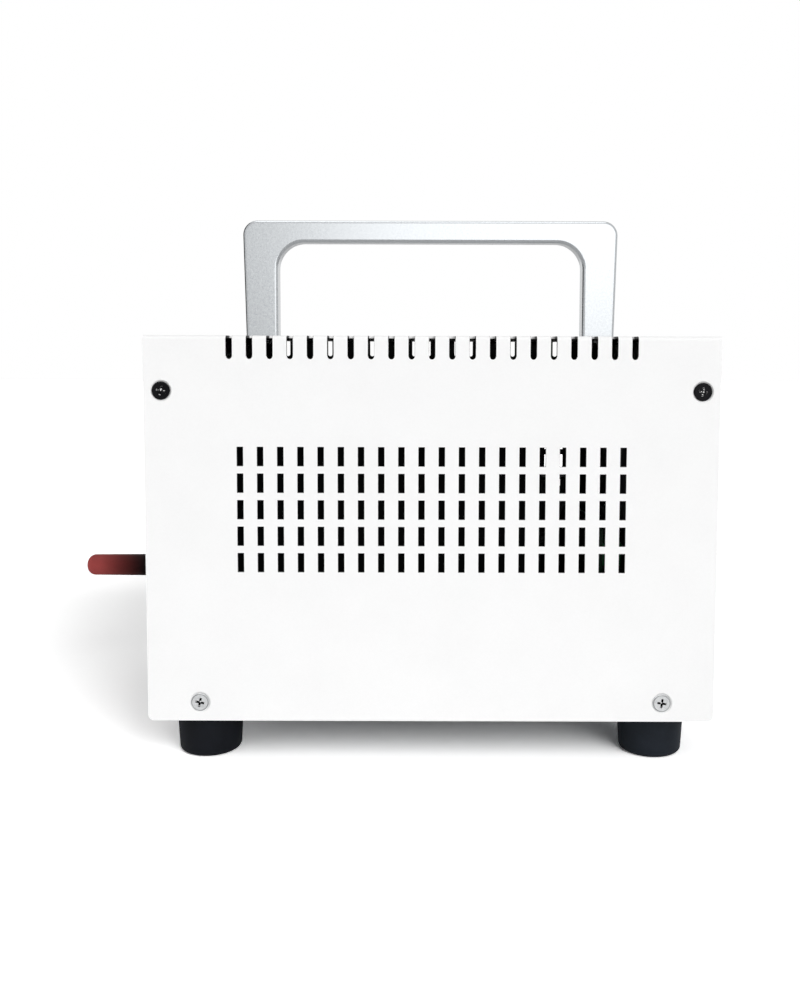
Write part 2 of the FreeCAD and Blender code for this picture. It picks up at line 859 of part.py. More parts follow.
# The heating chamber: a bright steel liner open at the front, a blanket of mineral wool round
# it, a steel jacket outside, and two channel runners that carry it on the base pan.

LINER_REAR = f"({REAR_BACK} - rear_bay - jacket_sheet - insulation_rear - liner_sheet)"
JACKET_REAR = f"({REAR_BACK} - rear_bay)"
JACKET_LOW = f"({LINER_FLOOR} - liner_sheet - insulation_floor - jacket_sheet)"
JACKET_TOP = f"({LINER_TOP} + liner_sheet + insulation_top + jacket_sheet)"
JACKET_SIDE = "(chamber_width / 2 + liner_sheet + insulation_side + jacket_sheet)"
UPPER_TUBE_Z = f"{LINER_TOP} - upper_tube_drop"
LOWER_TUBE_Z = f"{LINER_FLOOR} + lower_tube_rise"
TUBE_SPACING = f"(({LINER_REAR} - {PANEL_BACK} - 2 * tube_inset) / (tube_count - 1))"
TUBES = []
for number in range(count("tube_count")):
    TUBES.append((f"{PANEL_BACK} + tube_inset + {number} * {TUBE_SPACING}", UPPER_TUBE_Z))
for number in range(count("tube_count") - 1):
    TUBES.append((f"{PANEL_BACK} + tube_inset + ({number} + 1 / 2) * {TUBE_SPACING}", LOWER_TUBE_Z))
CAP_FACE = "(chamber_width / 2 + liner_sheet)"
PROBE_Z = f"{LINER_TOP} - probe_drop"


def shell(grow_side, grow_top, grow_floor, grow_rear, front):
    """A block round the chamber's space, larger by an amount on each side."""
    return block(
        (f"-(chamber_width / 2 + {grow_side})", f"chamber_width / 2 + {grow_side}"),
        (front, f"{LINER_REAR} + {grow_rear}"),
        (f"{LINER_FLOOR} - ({grow_floor})", f"{LINER_TOP} + {grow_top}"))


def probe_hole():
    """A hole for the probe, from inside the liner to outside the jacket."""
    return rod(("probe_across", f"{LINER_REAR} - cut_over", PROBE_Z), (0, 1, 0),
               f"{JACKET_REAR} - {LINER_REAR} + 2 * cut_over", "probe_diameter + 2 * screw_fit")


def make_chamber():
    open_front = f"{PANEL_BACK} - cut_over"
    space = shell("0", "0", "0", "0", open_front)
    skin = shell("liner_sheet", "liner_sheet", "liner_sheet", "liner_sheet", PANEL_BACK)
    flange = block((f"-({CAP_FACE} + liner_flange)", f"{CAP_FACE} + liner_flange"),
                   (PANEL_BACK, f"{PANEL_BACK} + liner_sheet"),
                   (f"{LINER_FLOOR} - liner_sheet - insulation_floor",
                    f"{LINER_TOP} + liner_sheet + liner_flange"))
    tube_holes = [rod((f"-({CAP_FACE} + cut_over)", y, z), (1, 0, 0), f"2 * ({CAP_FACE} + cut_over)",
                      "tube_diameter + 2 * tube_gap") for y, z in TUBES]
    piece("chamber_liner", cut(join([skin, flange]), [space, probe_hole()] + tube_holes))

    wool_front = f"{PANEL_BACK} + liner_sheet"
    wool = [f"liner_sheet + insulation_{side}" for side in ("side", "top", "floor", "rear")]
    hollow = shell("liner_sheet", "liner_sheet", "liner_sheet", "liner_sheet", open_front)
    cap_holes = [rod((f"-({CAP_FACE} + cap_length)", y, z), (1, 0, 0),
                     f"2 * ({CAP_FACE} + cap_length)", "cap_diameter + 2 * screw_fit") for y, z in TUBES]
    piece("chamber_insulation", cut(shell(*wool, wool_front), [hollow, probe_hole()] + cap_holes))

    outside = [f"{grow} + jacket_sheet" for grow in wool]
    inside = shell(*wool, open_front)
    piece("chamber_jacket", cut(shell(*outside, PANEL_BACK), [inside, probe_hole()]))

    runners = []
    for y in (f"{PANEL_BACK} + runner_inset", f"{JACKET_REAR} - runner_inset"):
        low, high = f"{FLOOR} + base_sheet", JACKET_LOW
        wide = (f"-{JACKET_SIDE}", JACKET_SIDE)
        body = block(wide, middle(y, "runner_width"), (low, high))
        hollow = block((f"-{JACKET_SIDE} - cut_over", f"{JACKET_SIDE} + cut_over"),
                       middle(y, "runner_width - 2 * panel_sheet"),
                       (f"{low} - cut_over", f"{high} - panel_sheet"))
        runners.append(cut(body, [hollow]))
    piece("chamber_runners", group(runners))


make_chamber()


# The heaters: quartz tubes across the chamber, three over the drawer and two under it, with a
# wire filament in each and ceramic caps that hold their ends in the insulation. A thermocouple
# comes in through the rear wall.


def make_heaters():
    tubes, filaments, caps = [], [], []
    reach = f"({CAP_FACE} + cap_socket)"
    for y, z in TUBES:
        outer = rod((f"-{reach}", y, z), (1, 0, 0), f"2 * {reach}", "tube_diameter")
        bore = rod((f"-{reach} - cut_over", y, z), (1, 0, 0), f"2 * ({reach} + cut_over)",
                   "tube_diameter - 2 * tube_wall")
        tubes.append(cut(outer, [bore]))
        filaments.append(rod((f"-{reach}", y, z), (1, 0, 0), f"2 * {reach}", "filament_diameter"))
        for sign in (-1, 1):
            cap = rod((f"{sign} * {CAP_FACE}", y, z), (sign, 0, 0), "cap_length", "cap_diameter")
            socket = rod((f"{sign} * ({CAP_FACE} - cut_over)", y, z), (sign, 0, 0),
                         "cap_socket + cut_over", "tube_diameter + 2 * screw_fit")
            caps.append(cut(cap, [socket]))
    piece("heater_tubes", group(tubes))
    piece("heater_filaments", group(filaments))
    piece("heater_caps", group(caps))
    probe = rod(("probe_across", f"{LINER_REAR} - probe_reach", PROBE_Z), (0, 1, 0),
                f"{JACKET_REAR} - {LINER_REAR} + probe_reach + gland_length", "probe_diameter")
    gland = rod(("probe_across", JACKET_REAR, PROBE_Z), (0, 1, 0), "gland_length", "gland_diameter")
    piece("thermocouple", join([probe, gland]))


make_heaters()


# The drawer: a plate with a glass window and a seal behind it, an open tray frame, and the
# wire rack that carries the circuit boards.

DRAWER_BACK = f"({PANEL_FACE} - seal_thickness)"
DRAWER_FACE = f"({DRAWER_BACK} - drawer_plate)"
PULL_Z = f"{FLOOR} + pull_rise"
TRAY_SIDE = "(chamber_width / 2 - rail_space)"
TRAY_REAR = f"({LINER_REAR} - tray_rear_gap)"
RAIL_MID = f"({LOWER_TUBE_Z} + tube_diameter / 2 + rail_clear + rail_height / 2)"
TRAY_Z = f"({RAIL_MID} - tray_height / 2)"
TRAY_SCREWS = [f"{sign} * tray_screw_across" for sign in (-1, 1)]
DRAWER_SIDE = "(chamber_width / 2 + drawer_lap_side)"
DRAWER_Z = (f"{MOUTH_LOW} - drawer_lap_low", f"{MOUTH_HIGH} + drawer_lap_high")
WINDOW_Z = (f"{PULL_Z} + window_over_pull", f"{MOUTH_HIGH} - window_drop")


def make_drawer():
    front = new_body("drawer_body")
    plate = rectangle((f"-{DRAWER_SIDE}", DRAWER_SIDE), DRAWER_Z)
    window = rectangle(("-window_width / 2", "window_width / 2"), WINDOW_Z)
    pad(front, "XZ_Plane", DRAWER_FACE, "drawer_plate", [plate])
    round_edges(front, "drawer_corner", through_plate)
    face = value(DRAWER_FACE)
    round_edges(front, "drawer_rim", lambda a, b: same(a.y, face) and same(b.y, face))
    through(front, "XZ_Plane", [window, ("0", PULL_Z, "stem_diameter + 2 * screw_fit")])
    through(front, "XZ_Plane", [(x, RAIL_MID, SHANK_HOLE) for x in TRAY_SCREWS])
    piece("drawer_front", front)

    inner_x = ("-(chamber_width / 2 + seal_margin)", "chamber_width / 2 + seal_margin")
    inner_z = (f"{MOUTH_LOW} - seal_margin", f"{MOUTH_HIGH} + seal_margin")
    outer_x = (f"-({DRAWER_SIDE} - seal_margin)", f"{DRAWER_SIDE} - seal_margin")
    outer_z = (f"{DRAWER_Z[0]} + seal_margin", f"{DRAWER_Z[1]} - seal_margin")
    ring = block(outer_x, (DRAWER_BACK, PANEL_FACE), outer_z)
    hole = block(inner_x, (f"{DRAWER_BACK} - cut_over", f"{PANEL_FACE} + cut_over"), inner_z)
    piece("drawer_seal", cut(ring, [hole]))

    glass_x = ("-(window_width / 2 + glass_lap)", "window_width / 2 + glass_lap")
    glass_z = (f"{WINDOW_Z[0]} - glass_lap", f"{WINDOW_Z[1]} + glass_lap")
    piece("drawer_window", block(glass_x, (DRAWER_BACK, f"{DRAWER_BACK} + glass_thickness"), glass_z))

    inner = f"({TRAY_SIDE} - tray_sheet)"
    ledge = f"({inner} - tray_ledge)"
    box = block((f"-{TRAY_SIDE}", TRAY_SIDE), (DRAWER_BACK, TRAY_REAR), (TRAY_Z, f"{TRAY_Z} + tray_height"))
    well = block((f"-{inner}", inner), (f"{DRAWER_BACK} + tray_sheet", f"{TRAY_REAR} - tray_sheet"),
                 (f"{TRAY_Z} + tray_sheet", f"{TRAY_Z} + tray_height + cut_over"))
    hole = block((f"-{ledge}", ledge),
                 (f"{DRAWER_BACK} + tray_sheet + tray_ledge", f"{TRAY_REAR} - tray_sheet - tray_ledge"),
                 (f"{TRAY_Z} - cut_over", f"{TRAY_Z} + tray_sheet + cut_over"))
    front_wall, wall_cut = f"{DRAWER_BACK} - cut_over", "tray_sheet + 2 * cut_over"
    holes = [rod((x, front_wall, RAIL_MID), (0, 1, 0), wall_cut, SHANK_HOLE) for x in TRAY_SCREWS]
    holes.append(rod(("0", front_wall, PULL_Z), (0, 1, 0), wall_cut, "stem_head + 2 * stem_head_clear"))
    piece("drawer_tray", cut(box, [well, hole] + holes))

    wires = []
    reach = f"({inner} - rack_wire)"
    cross_z = f"{TRAY_Z} + tray_sheet + rack_cross_wire / 2"
    near = f"({DRAWER_BACK} + tray_sheet + tray_ledge / 2)"
    far = f"({TRAY_REAR} - tray_sheet - tray_ledge / 2)"
    for y in (near, f"({near} + {far}) / 2", far):
        wires.append(rod((f"-{reach}", y, cross_z), (1, 0, 0), f"2 * {reach}", "rack_cross_wire"))
    long_z = f"{cross_z} + rack_cross_wire / 2 + rack_wire / 2 - rack_sink"
    for number in range(count("rack_count")):
        x = f"(2 * {number} / (rack_count - 1) - 1) * ({reach} - rack_wire)"
        wires.append(rod((x, f"{near} - rack_wire", long_z), (0, 1, 0),
                         f"{far} - {near} + 2 * rack_wire", "rack_wire"))
    piece("circuit_rack", join(wires))

    screw = pan_screw("tray_screw", "case_screw_head", "case_screw_rise", "case_screw_rim",
                      "case_screw_shank", "tray_sheet + drawer_plate")
    copies("drawer_screws", screw, [((x, f"{DRAWER_BACK} + tray_sheet", RAIL_MID), (0, 1, 0))
                                    for x in TRAY_SCREWS])


make_drawer()


# The pull: a red turned grip on a steel stem, which a black spacer holds off the hot drawer
# front. The stem's head clamps the plate from behind.


def make_pull():
    outward = FreeCAD.Rotation(FreeCAD.Vector(0, 0, 1), FreeCAD.Vector(0, -1, 0))
    root = "(pull_reach - grip_length)"
    face = f"({FRONT} - {DRAWER_FACE})"
    bore = "(stem_diameter / 2 + screw_fit)"
    grip = new_body("grip_body")
    place(grip, "0", FRONT, PULL_Z, outward)
    turned(grip, [
        ("0", f"{root} + stem_depth"), (bore, f"{root} + stem_depth"), (bore, root),
        ("grip_root / 2", root), ("grip_tip / 2", "pull_reach"), ("0", "pull_reach"),
    ])
    round_edges(grip, "grip_nose", rim_at(value("pull_reach")))
    piece("pull_grip", grip)
    spacer = new_body("spacer_body")
    place(spacer, "0", FRONT, PULL_Z, outward)
    turned(spacer, [
        (bore, face), ("spacer_diameter / 2", face), ("spacer_diameter / 2", root), (bore, root),
    ])
    piece("pull_spacer", spacer)
    inside = f"({FRONT} - {DRAWER_BACK})"
    stem = new_body("stem_body")
    place(stem, "0", FRONT, PULL_Z, outward)
    turned(stem, [
        ("0", f"{inside} - stem_head_length"), ("stem_head / 2", f"{inside} - stem_head_length"),
        ("stem_head / 2", inside), ("stem_diameter / 2", inside),
        ("stem_diameter / 2", f"{root} + stem_depth"), ("0", f"{root} + stem_depth"),
    ])
    piece("pull_stem", stem)


make_pull()


# Telescopic rails: on each side an outer channel on the liner, a middle channel that travels
# half as far as the drawer, and an inner channel on the tray.


def channel(label, side, web, lips, height):
    """A channel along Y: its web spans two distances from the middle, and its lips run to a third."""
    rail = new_body(f"{label}_body")
    place(rail, "0", "0", RAIL_MID)
    half, inner = f"({height}) / 2", f"({height}) / 2 - rail_sheet"
    near, far = web
    corners = [
        (near, f"-({half})"), (lips, f"-({half})"), (lips, f"-({inner})"), (far, f"-({inner})"),
        (far, inner), (lips, inner), (lips, half), (near, half),
    ]
    start, end = f"({PANEL_BACK} + rail_setback)", f"({LINER_REAR} - rail_rear_gap)"
    pad(rail, "XZ_Plane", start, f"{end} - {start}", [[(f"{side} * ({x})", z) for x, z in corners]])
    piece(label, rail)


def make_rails():
    wall = "chamber_width / 2"
    lip = f"{TRAY_SIDE} + rail_sheet + rail_gap"
    step = "2 * (rail_sheet + rail_gap)"
    middle_web = f"{wall} - rail_sheet - rail_gap"
    for name, side in (("left", -1), ("right", 1)):
        channel(f"outer_rail_{name}", side, (wall, f"{wall} - rail_sheet"), lip, "rail_height")
        channel(f"middle_rail_{name}", side, (middle_web, f"{middle_web} - rail_sheet"), lip,
                f"rail_height - {step}")
        channel(f"inner_rail_{name}", side, (TRAY_SIDE, f"{TRAY_SIDE} + rail_sheet"),
                f"{middle_web} - rail_sheet - rail_gap", f"rail_height - 2 * {step}")


make_rails()


# The control panel: a black fascia plate on the front panel, a clear display window, and behind
# them the display, the control board with its push switches, and four buttons.

BOARD_FRONT = f"({PANEL_BACK} + board_gap)"
BOARD_BACK = f"({BOARD_FRONT} + board_thickness)"
FASCIA_FACE = f"({PANEL_FACE} - fascia_thickness)"
SWITCH_FACE = f"({BOARD_FRONT} - switch_height)"
BRACKET_Y = f"({JACKET_REAR} + bracket_setback)"
POWER_FRONT = f"({BRACKET_Y} + bracket_sheet + board_gap)"
POWER_BACK = f"({POWER_FRONT} + board_thickness)"


def board_corners(half, low, high):
    return [(f"{sign} * ({half} - spacer_inset)", z) for sign in (-1, 1)
            for z in (f"{low} + spacer_inset", f"{high} - spacer_inset")]


def make_controls():
    fascia = new_body("fascia_body")
    lens_x = middle("display_across", "display_width + 2 * display_rim")
    lens_z = middle(DISPLAY_MID, "display_height + 2 * display_rim")
    pad(fascia, "XZ_Plane", FASCIA_FACE, "fascia_thickness",
        [rectangle(middle("0", "fascia_width"), middle(FASCIA_MID, "fascia_height"))])
    round_edges(fascia, "fascia_corner", through_plate)
    button_holes = [(x, BUTTON_Z, BUTTON_HOLE) for x in BUTTON_X]
    through(fascia, "XZ_Plane", [rectangle(lens_x, lens_z)] + button_holes)
    piece("control_fascia", fascia)
    piece("display_window", block(lens_x, (FASCIA_FACE, PANEL_FACE), lens_z))
    piece("display_module", block(lens_x, (PANEL_BACK, BOARD_FRONT), lens_z))

    board_z = middle(DISPLAY_MID, "board_height")
    piece("control_board", block(("-board_half", "board_half"), (BOARD_FRONT, BOARD_BACK), board_z))
    spacers = [rod((x, PANEL_BACK, z), (0, 1, 0), "board_gap", "spacer_width")
               for x, z in board_corners("board_half", *board_z)]
    spacers += [rod((x, f"{BRACKET_Y} + bracket_sheet", z), (0, 1, 0), "board_gap", "spacer_width")
                for x, z in board_corners("power_half", f"{FLOOR} + power_low", f"{FLOOR} + power_high")]
    piece("board_spacers", group(spacers))

    switches = []
    for x in BUTTON_X:
        case = block(middle(x, "switch_side"), (SWITCH_FACE, BOARD_FRONT), middle(BUTTON_Z, "switch_side"))
        bore = rod((x, f"{SWITCH_FACE} - cut_over", BUTTON_Z), (0, 1, 0), "switch_bore_depth + cut_over",
                   "button_stem + 2 * screw_fit")
        switches.append(cut(case, [bore]))
    piece("push_switches", group(switches))

    outward = FreeCAD.Rotation(FreeCAD.Vector(0, 0, 1), FreeCAD.Vector(0, -1, 0))
    collar = "-(fascia_thickness + panel_sheet + button_gap)"
    stem_end = f"{FASCIA_FACE} - {SWITCH_FACE} - button_insert"
    for number, x in enumerate(BUTTON_X, 1):
        button = new_body(f"button_{number}_body")
        place(button, x, FASCIA_FACE, BUTTON_Z, outward)
        turned(button, [
            ("0", "button_proud"), ("button_diameter / 2", "button_proud"), ("button_diameter / 2", collar),
            ("button_flange / 2", collar), ("button_flange / 2", f"{collar} - button_flange_thickness"),
            ("button_stem / 2", f"{collar} - button_flange_thickness"), ("button_stem / 2", stem_end),
            ("0", stem_end),
        ])
        round_edges(button, "button_edge", rim_at(value("button_proud")))
        piece(f"button_{number}", button)


make_controls()


# The rear fan: a square plastic frame whose struts carry the motor, a bladed impeller on its
# shaft, and a wire guard outside. Six like screws hold the fan, its guard and the inlet.

FAN_FRONT = f"({REAR_BACK} - fan_depth)"
MOTOR_FRONT = f"({REAR_BACK} - fan_strut_thickness)"


def make_fan():
    frame = block(middle("fan_across", "fan_side"), (FAN_FRONT, REAR_BACK), middle(FAN_Z, "fan_side"))
    start, right_through = f"{FAN_FRONT} - cut_over", "fan_depth + 2 * cut_over"
    tunnel = rod(("fan_across", start, FAN_Z), (0, 1, 0), right_through, FAN_BORE)
    deep = (MOTOR_FRONT, REAR_BACK)
    strut_span = "fan_side - fan_rim"
    spider = [
        cut(frame, [tunnel]),
        rod(("fan_across", MOTOR_FRONT, FAN_Z), (0, 1, 0), "fan_strut_thickness", "fan_motor"),
        block(middle("fan_across", strut_span), deep, middle(FAN_Z, "fan_strut")),
        block(middle("fan_across", "fan_strut"), deep, middle(FAN_Z, strut_span)),
    ]
    holes = []
    for corner in FAN_CORNERS:
        x, z = fan_hole(*corner)
        holes.append(rod((x, start, z), (0, 1, 0), right_through, SHANK_HOLE))
    holes.append(rod(("fan_across", f"{MOTOR_FRONT} - cut_over", FAN_Z), (0, 1, 0),
                     "fan_strut_thickness + 2 * cut_over", "fan_shaft + 2 * screw_fit"))
    piece("fan_frame", cut(join(spider), holes))

    impeller = new_body("impeller_body")
    rearward = FreeCAD.Rotation(FreeCAD.Vector(0, 0, 1), FreeCAD.Vector(0, 1, 0))
    place(impeller, "fan_across", f"{FAN_FRONT} + fan_hub_gap", FAN_Z, rearward)
    hub_height = "(fan_depth - fan_strut_thickness - 2 * fan_hub_gap)"
    hub = pad(impeller, "XY_Plane", "0", hub_height, [("0", "0", "fan_hub")])
    rise = middle(f"{hub_height} / 2", "fan_blade_height")
    lean, thick = "fan_blade_sweep / 2", "fan_blade_thickness"
    blade_root = "(fan_hub / 2 - fan_blade_thickness)"
    blade = pad(impeller, "YZ_Plane", blade_root, f"{FAN_BORE} / 2 - fan_tip_gap - {blade_root}", [[
        (f"-({lean})", rise[0]), (f"{thick} - {lean}", rise[0]),
        (lean, rise[1]), (f"{lean} - {thick}", rise[1]),
    ]])
    blades = impeller.newObject("PartDesign::PolarPattern", "blades")
    blades.Originals = [blade]
    blades.Axis = (hub.Profile[0], ["N_Axis"])
    blades.Angle = 360
    blades.Occurrences = count("fan_blades")
    impeller.Tip = blades
    doc.recompute()
    shaft_length = "fan_strut_thickness + fan_hub_gap / 2"
    pad(impeller, "XY_Plane", hub_height, shaft_length, [("0", "0", "fan_shaft")])
    piece("fan_impeller", impeller)


def make_guard():
    wire_y = f"{REAR_FACE} + guard_reach - guard_wire / 2"
    spoke_y = f"{wire_y} - guard_wire + guard_weld"
    foot_y = f"{REAR_FACE} + guard_eye_thickness / 2"
    rim = f"({FAN_BORE} / 2 - guard_rim_gap)"
    parts = []
    for number in range(count("guard_rings")):
        ring = doc.addObject("Part::Torus", "ring")
        turn = FreeCAD.Rotation(FreeCAD.Vector(0, 0, 1), FreeCAD.Vector(0, 1, 0))
        place(ring, "fan_across", wire_y, FAN_Z, turn)
        step = f"({rim} - guard_first_ring) / (guard_rings - 1)"
        bind(ring, "Radius1", f"guard_first_ring + {number} * {step}")
        bind(ring, "Radius2", "guard_wire / 2")
        parts.append(ring)
    diagonal = 0.5 ** 0.5
    bend = f"({rim} + guard_wire)"
    eye_reach = f"({FAN_SPACING} / 2 / {diagonal})"
    eyes = []
    for sx, sz in FAN_CORNERS:
        def along(reach):
            return f"fan_across + {sx * diagonal} * ({reach})", f"{FAN_Z} + {sz * diagonal} * ({reach})"
        start, knee = along("guard_first_ring"), along(bend)
        spoke = f"{bend} - guard_first_ring"
        parts.append(rod((start[0], spoke_y, start[1]), (sx, 0, sz), spoke, "guard_wire"))
        ball = doc.addObject("Part::Sphere", "knee")
        place(ball, knee[0], spoke_y, knee[1])
        bind(ball, "Radius", "guard_knee / 2")
        parts.append(ball)
        parts.append(rod((knee[0], REAR_FACE, knee[1]), (0, 1, 0), f"{spoke_y} - {REAR_FACE}", "guard_post"))
        parts.append(rod((knee[0], foot_y, knee[1]), (sx, 0, sz), f"{eye_reach} - {bend}", "guard_wire"))
        x, z = fan_hole(sx, sz)
        parts.append(rod((x, REAR_FACE, z), (0, 1, 0), "guard_eye_thickness", "guard_eye"))
        eyes.append(rod((x, f"{REAR_FACE} - cut_over", z), (0, 1, 0), "guard_reach", SHANK_HOLE))
    piece("fan_guard", cut(join(parts), eyes))


make_fan()
make_guard()


# The mains inlet with its three pins, and the rocker switch above it: a housing clipped into the
# rear panel, and a rocker that tips on its own pivot.


def make_inlet():
    z = f"{FLOOR} + inlet_rise"
    outer = f"{REAR_FACE} + inlet_flange_thickness"
    inner = f"{REAR_BACK} - inlet_body_depth"
    flange = block(middle("inlet_across", "inlet_flange_width"), (REAR_FACE, outer),
                   middle(z, "inlet_flange_height"))
    body = block(INLET_X, (inner, REAR_FACE), INLET_Z)
    bottom = f"{outer} - inlet_depth"
    mouth = block(middle("inlet_across", "inlet_body_width - 2 * inlet_wall"),
                  (bottom, f"{outer} + cut_over"),
                  middle(z, "inlet_body_height - 2 * inlet_wall"))
    places = [("-pin_spacing", "-pin_offset"), ("0", "pin_offset"), ("pin_spacing", "-pin_offset")]
    spans = [(middle(f"inlet_across + {x}", "pin_width"), (f"{inner} - pin_tab", f"{bottom} + pin_length"),
              middle(f"{z} + {up}", "pin_height")) for x, up in places]
    holes = [rod((x, f"{REAR_FACE} - cut_over", z), (0, 1, 0),
                 "inlet_flange_thickness + 2 * cut_over", SHANK_HOLE)
             for x in middle("inlet_across", "inlet_hole_spacing")]
    piece("mains_inlet", cut(join([flange, body]), [mouth] + [block(*span) for span in spans] + holes))
    piece("inlet_pins", group([block(*span) for span in spans]))


def make_rear_screws():
    screw = pan_screw("rear_screw", "case_screw_head", "case_screw_rise", "case_screw_rim",
                      "case_screw_shank", "case_screw_length")
    spots = []
    for corner in FAN_CORNERS:
        x, z = fan_hole(*corner)
        spots.append(((x, f"{REAR_FACE} + guard_eye_thickness", z), (0, 1, 0)))
    for x in middle("inlet_across", "inlet_hole_spacing"):
        spots.append(((x, f"{REAR_FACE} + inlet_flange_thickness", f"{FLOOR} + inlet_rise"), (0, 1, 0)))
    copies("rear_screws", screw, spots)


def make_rocker():
    z = f"{FLOOR} + rocker_rise"
    outer = f"{REAR_FACE} + rocker_bezel_thickness"
    pivot_y = f"{outer} - rocker_pivot_depth"
    bezel = block(middle("rocker_across", "rocker_bezel_width"), (REAR_FACE, outer),
                  middle(z, "rocker_bezel_height"))
    body = block(ROCKER_X, (f"{REAR_BACK} - rocker_body_depth", REAR_FACE), ROCKER_Z)
    inner_x = "rocker_body_width - 2 * rocker_wall"
    well = block(middle("rocker_across", inner_x), (f"{outer} - rocker_well", f"{outer} + cut_over"),
                 middle(z, "rocker_body_height - 2 * rocker_wall"))
    pivot_reach = f"({inner_x}) / 2 + rocker_pivot_reach"
    pivot = rod((f"rocker_across - ({pivot_reach})", pivot_y, z), (1, 0, 0), f"2 * ({pivot_reach})",
                "rocker_pivot + 2 * screw_fit")
    piece("rocker_housing", cut(join([bezel, body]), [well, pivot]))

    half = "((rocker_body_height - 2 * rocker_wall) / 2 - rocker_end_gap)"
    rocker = new_body("rocker_body")
    tip = FreeCAD.Rotation(FreeCAD.Vector(1, 0, 0), value("rocker_tilt"))
    place(rocker, "rocker_across", pivot_y, z, tip)
    wide = f"{inner_x} - 2 * rocker_clearance"
    proud = "rocker_pivot_depth"
    pad(rocker, "YZ_Plane", f"-({wide}) / 2", wide, [[
        (proud, "0"), (f"{proud} + rocker_lift", half), (f"-{half} / 4", half),
        (f"-{half} * 3 / 4", f"{half} / 2"), (f"-{half} * 3 / 4", f"-{half} / 2"),
        (f"-{half} / 4", f"-{half}"), (f"{proud} + rocker_lift", f"-{half}"),
    ]])
    reach = f"({pivot_reach} - screw_fit)"
    pad(rocker, "YZ_Plane", f"-{reach}", f"2 * {reach}", [("0", "0", "rocker_pivot")])
    piece("rocker", rocker)


make_inlet()
make_rear_screws()
make_rocker()


# The power supply: an upright bracket behind the chamber with a circuit board on its rear, which
# carries a transformer, the heaters' relay with its heat sink, and a terminal block.


def make_power():
    rear = f"({BRACKET_Y} + bracket_sheet)"
    side = f"({INSIDE} - base_sheet - bracket_gap)"
    wide = (f"-{side}", side)
    low = f"{FLOOR} + base_sheet"
    upright = block(wide, (BRACKET_Y, rear), (low, f"{FLOOR} + bracket_height"))
    foot = block(wide, (f"{rear} - bracket_foot", rear), (low, f"{low} + bracket_sheet"))
    piece("power_bracket", join([upright, foot]))
    piece("power_board", block(("-power_half", "power_half"), (POWER_FRONT, POWER_BACK),
                               (f"{FLOOR} + power_low", f"{FLOOR} + power_high")))

    base = f"{FLOOR} + transformer_low"
    coil = block(middle("transformer_across", "transformer_width - transformer_core"),
                 (POWER_BACK, f"{POWER_BACK} + transformer_depth"), (base, f"{base} + transformer_height"))
    core_z = (f"{base} + transformer_core / 2", f"{base} + transformer_height - transformer_core / 2")
    core_y = middle(f"{POWER_BACK} + transformer_depth / 2", "transformer_depth / 2")
    core = block(middle("transformer_across", "transformer_width"), core_y, core_z)
    piece("transformer", join([coil, core]))

    relay_x = middle("relay_across", "relay_width")
    relay_back = f"({POWER_BACK} + relay_depth)"
    relay_z = f"{FLOOR} + relay_low"
    piece("heater_relay", block(relay_x, (POWER_BACK, relay_back), (relay_z, f"{relay_z} + relay_height")))
    sink = new_body("heatsink_body")
    place(sink, "relay_across", relay_back, relay_z)
    half = "relay_width / 2"
    pad(sink, "XY_Plane", "0", "heatsink_height", [rectangle((f"-{half}", half), ("0", "heatsink_base"))])
    fin = pad(sink, "XY_Plane", "0", "heatsink_height",
              [rectangle((f"-{half}", f"heatsink_fin - {half}"), ("heatsink_base", "heatsink_depth"))])
    fins = sink.newObject("PartDesign::LinearPattern", "fins")
    fins.Originals = [fin]
    fins.Direction = (fin.Profile[0], ["H_Axis"])
    bind(fins, "Length", "relay_width - heatsink_fin")
    fins.Occurrences = count("heatsink_fins")
    sink.Tip = fins
    doc.recompute()
    piece("heat_sink", sink)

    terminal_z = f"{FLOOR} + terminal_low"
    terminal_back = f"{POWER_BACK} + terminal_depth"
    case = block(middle("terminal_across", "terminal_width"), (POWER_BACK, terminal_back),
                 (terminal_z, f"{terminal_z} + terminal_height"))
    ways = []
    way_y, way_z = f"{POWER_BACK} + terminal_depth / 2", f"{terminal_z} + terminal_height / 2"
    for number in range(count("terminal_ways")):
        x = f"terminal_across + ({number} - (terminal_ways - 1) / 2) * terminal_width / terminal_ways"
        ways.append(rod((x, way_y, way_z), (0, 0, 1), "terminal_height", "terminal_way"))
    piece("terminal_block", cut(case, ways))


make_power()


# The wiring inside the case: heater and thermocouple leads from the chamber's rear wall to the
# terminal block, mains leads from the inlet to the board, and a flat cable from the control
# board along the top of the chamber. Each arc takes up this share of the shorter run beside it.

LEAD_ARC_SHARE = 0.45


def lead_along(points):
    """A round lead through hand-chosen points: straight runs with an arc at each corner."""
    spots = [FreeCAD.Vector(*(value(text) for text in point)) for point in points]
    edges = []
    start = spots[0]
    for before, corner, after in zip(spots, spots[1:], spots[2:]):
        back = before - corner
        ahead = after - corner
        reach = LEAD_ARC_SHARE * min(back.Length, ahead.Length)
        half_angle = back.getAngle(ahead) / 2
        back.normalize()
        ahead.normalize()
        inward = back + ahead
        inward.normalize()
        arc_middle = corner + inward * (reach / math.cos(half_angle) - reach * math.tan(half_angle))
        arc_end = corner + ahead * reach
        edges.append(Part.LineSegment(start, corner + back * reach).toShape())
        edges.append(Part.Arc(corner + back * reach, arc_middle, arc_end).toShape())
        start = arc_end
    edges.append(Part.LineSegment(start, spots[-1]).toShape())
    section = Part.Wire(Part.Circle(spots[0], spots[1] - spots[0], value("lead_diameter / 2")).toShape())
    lead = doc.addObject("Part::Feature", "lead")
    lead.Shape = Part.Wire(edges).makePipeShell([section], True, False)
    return lead


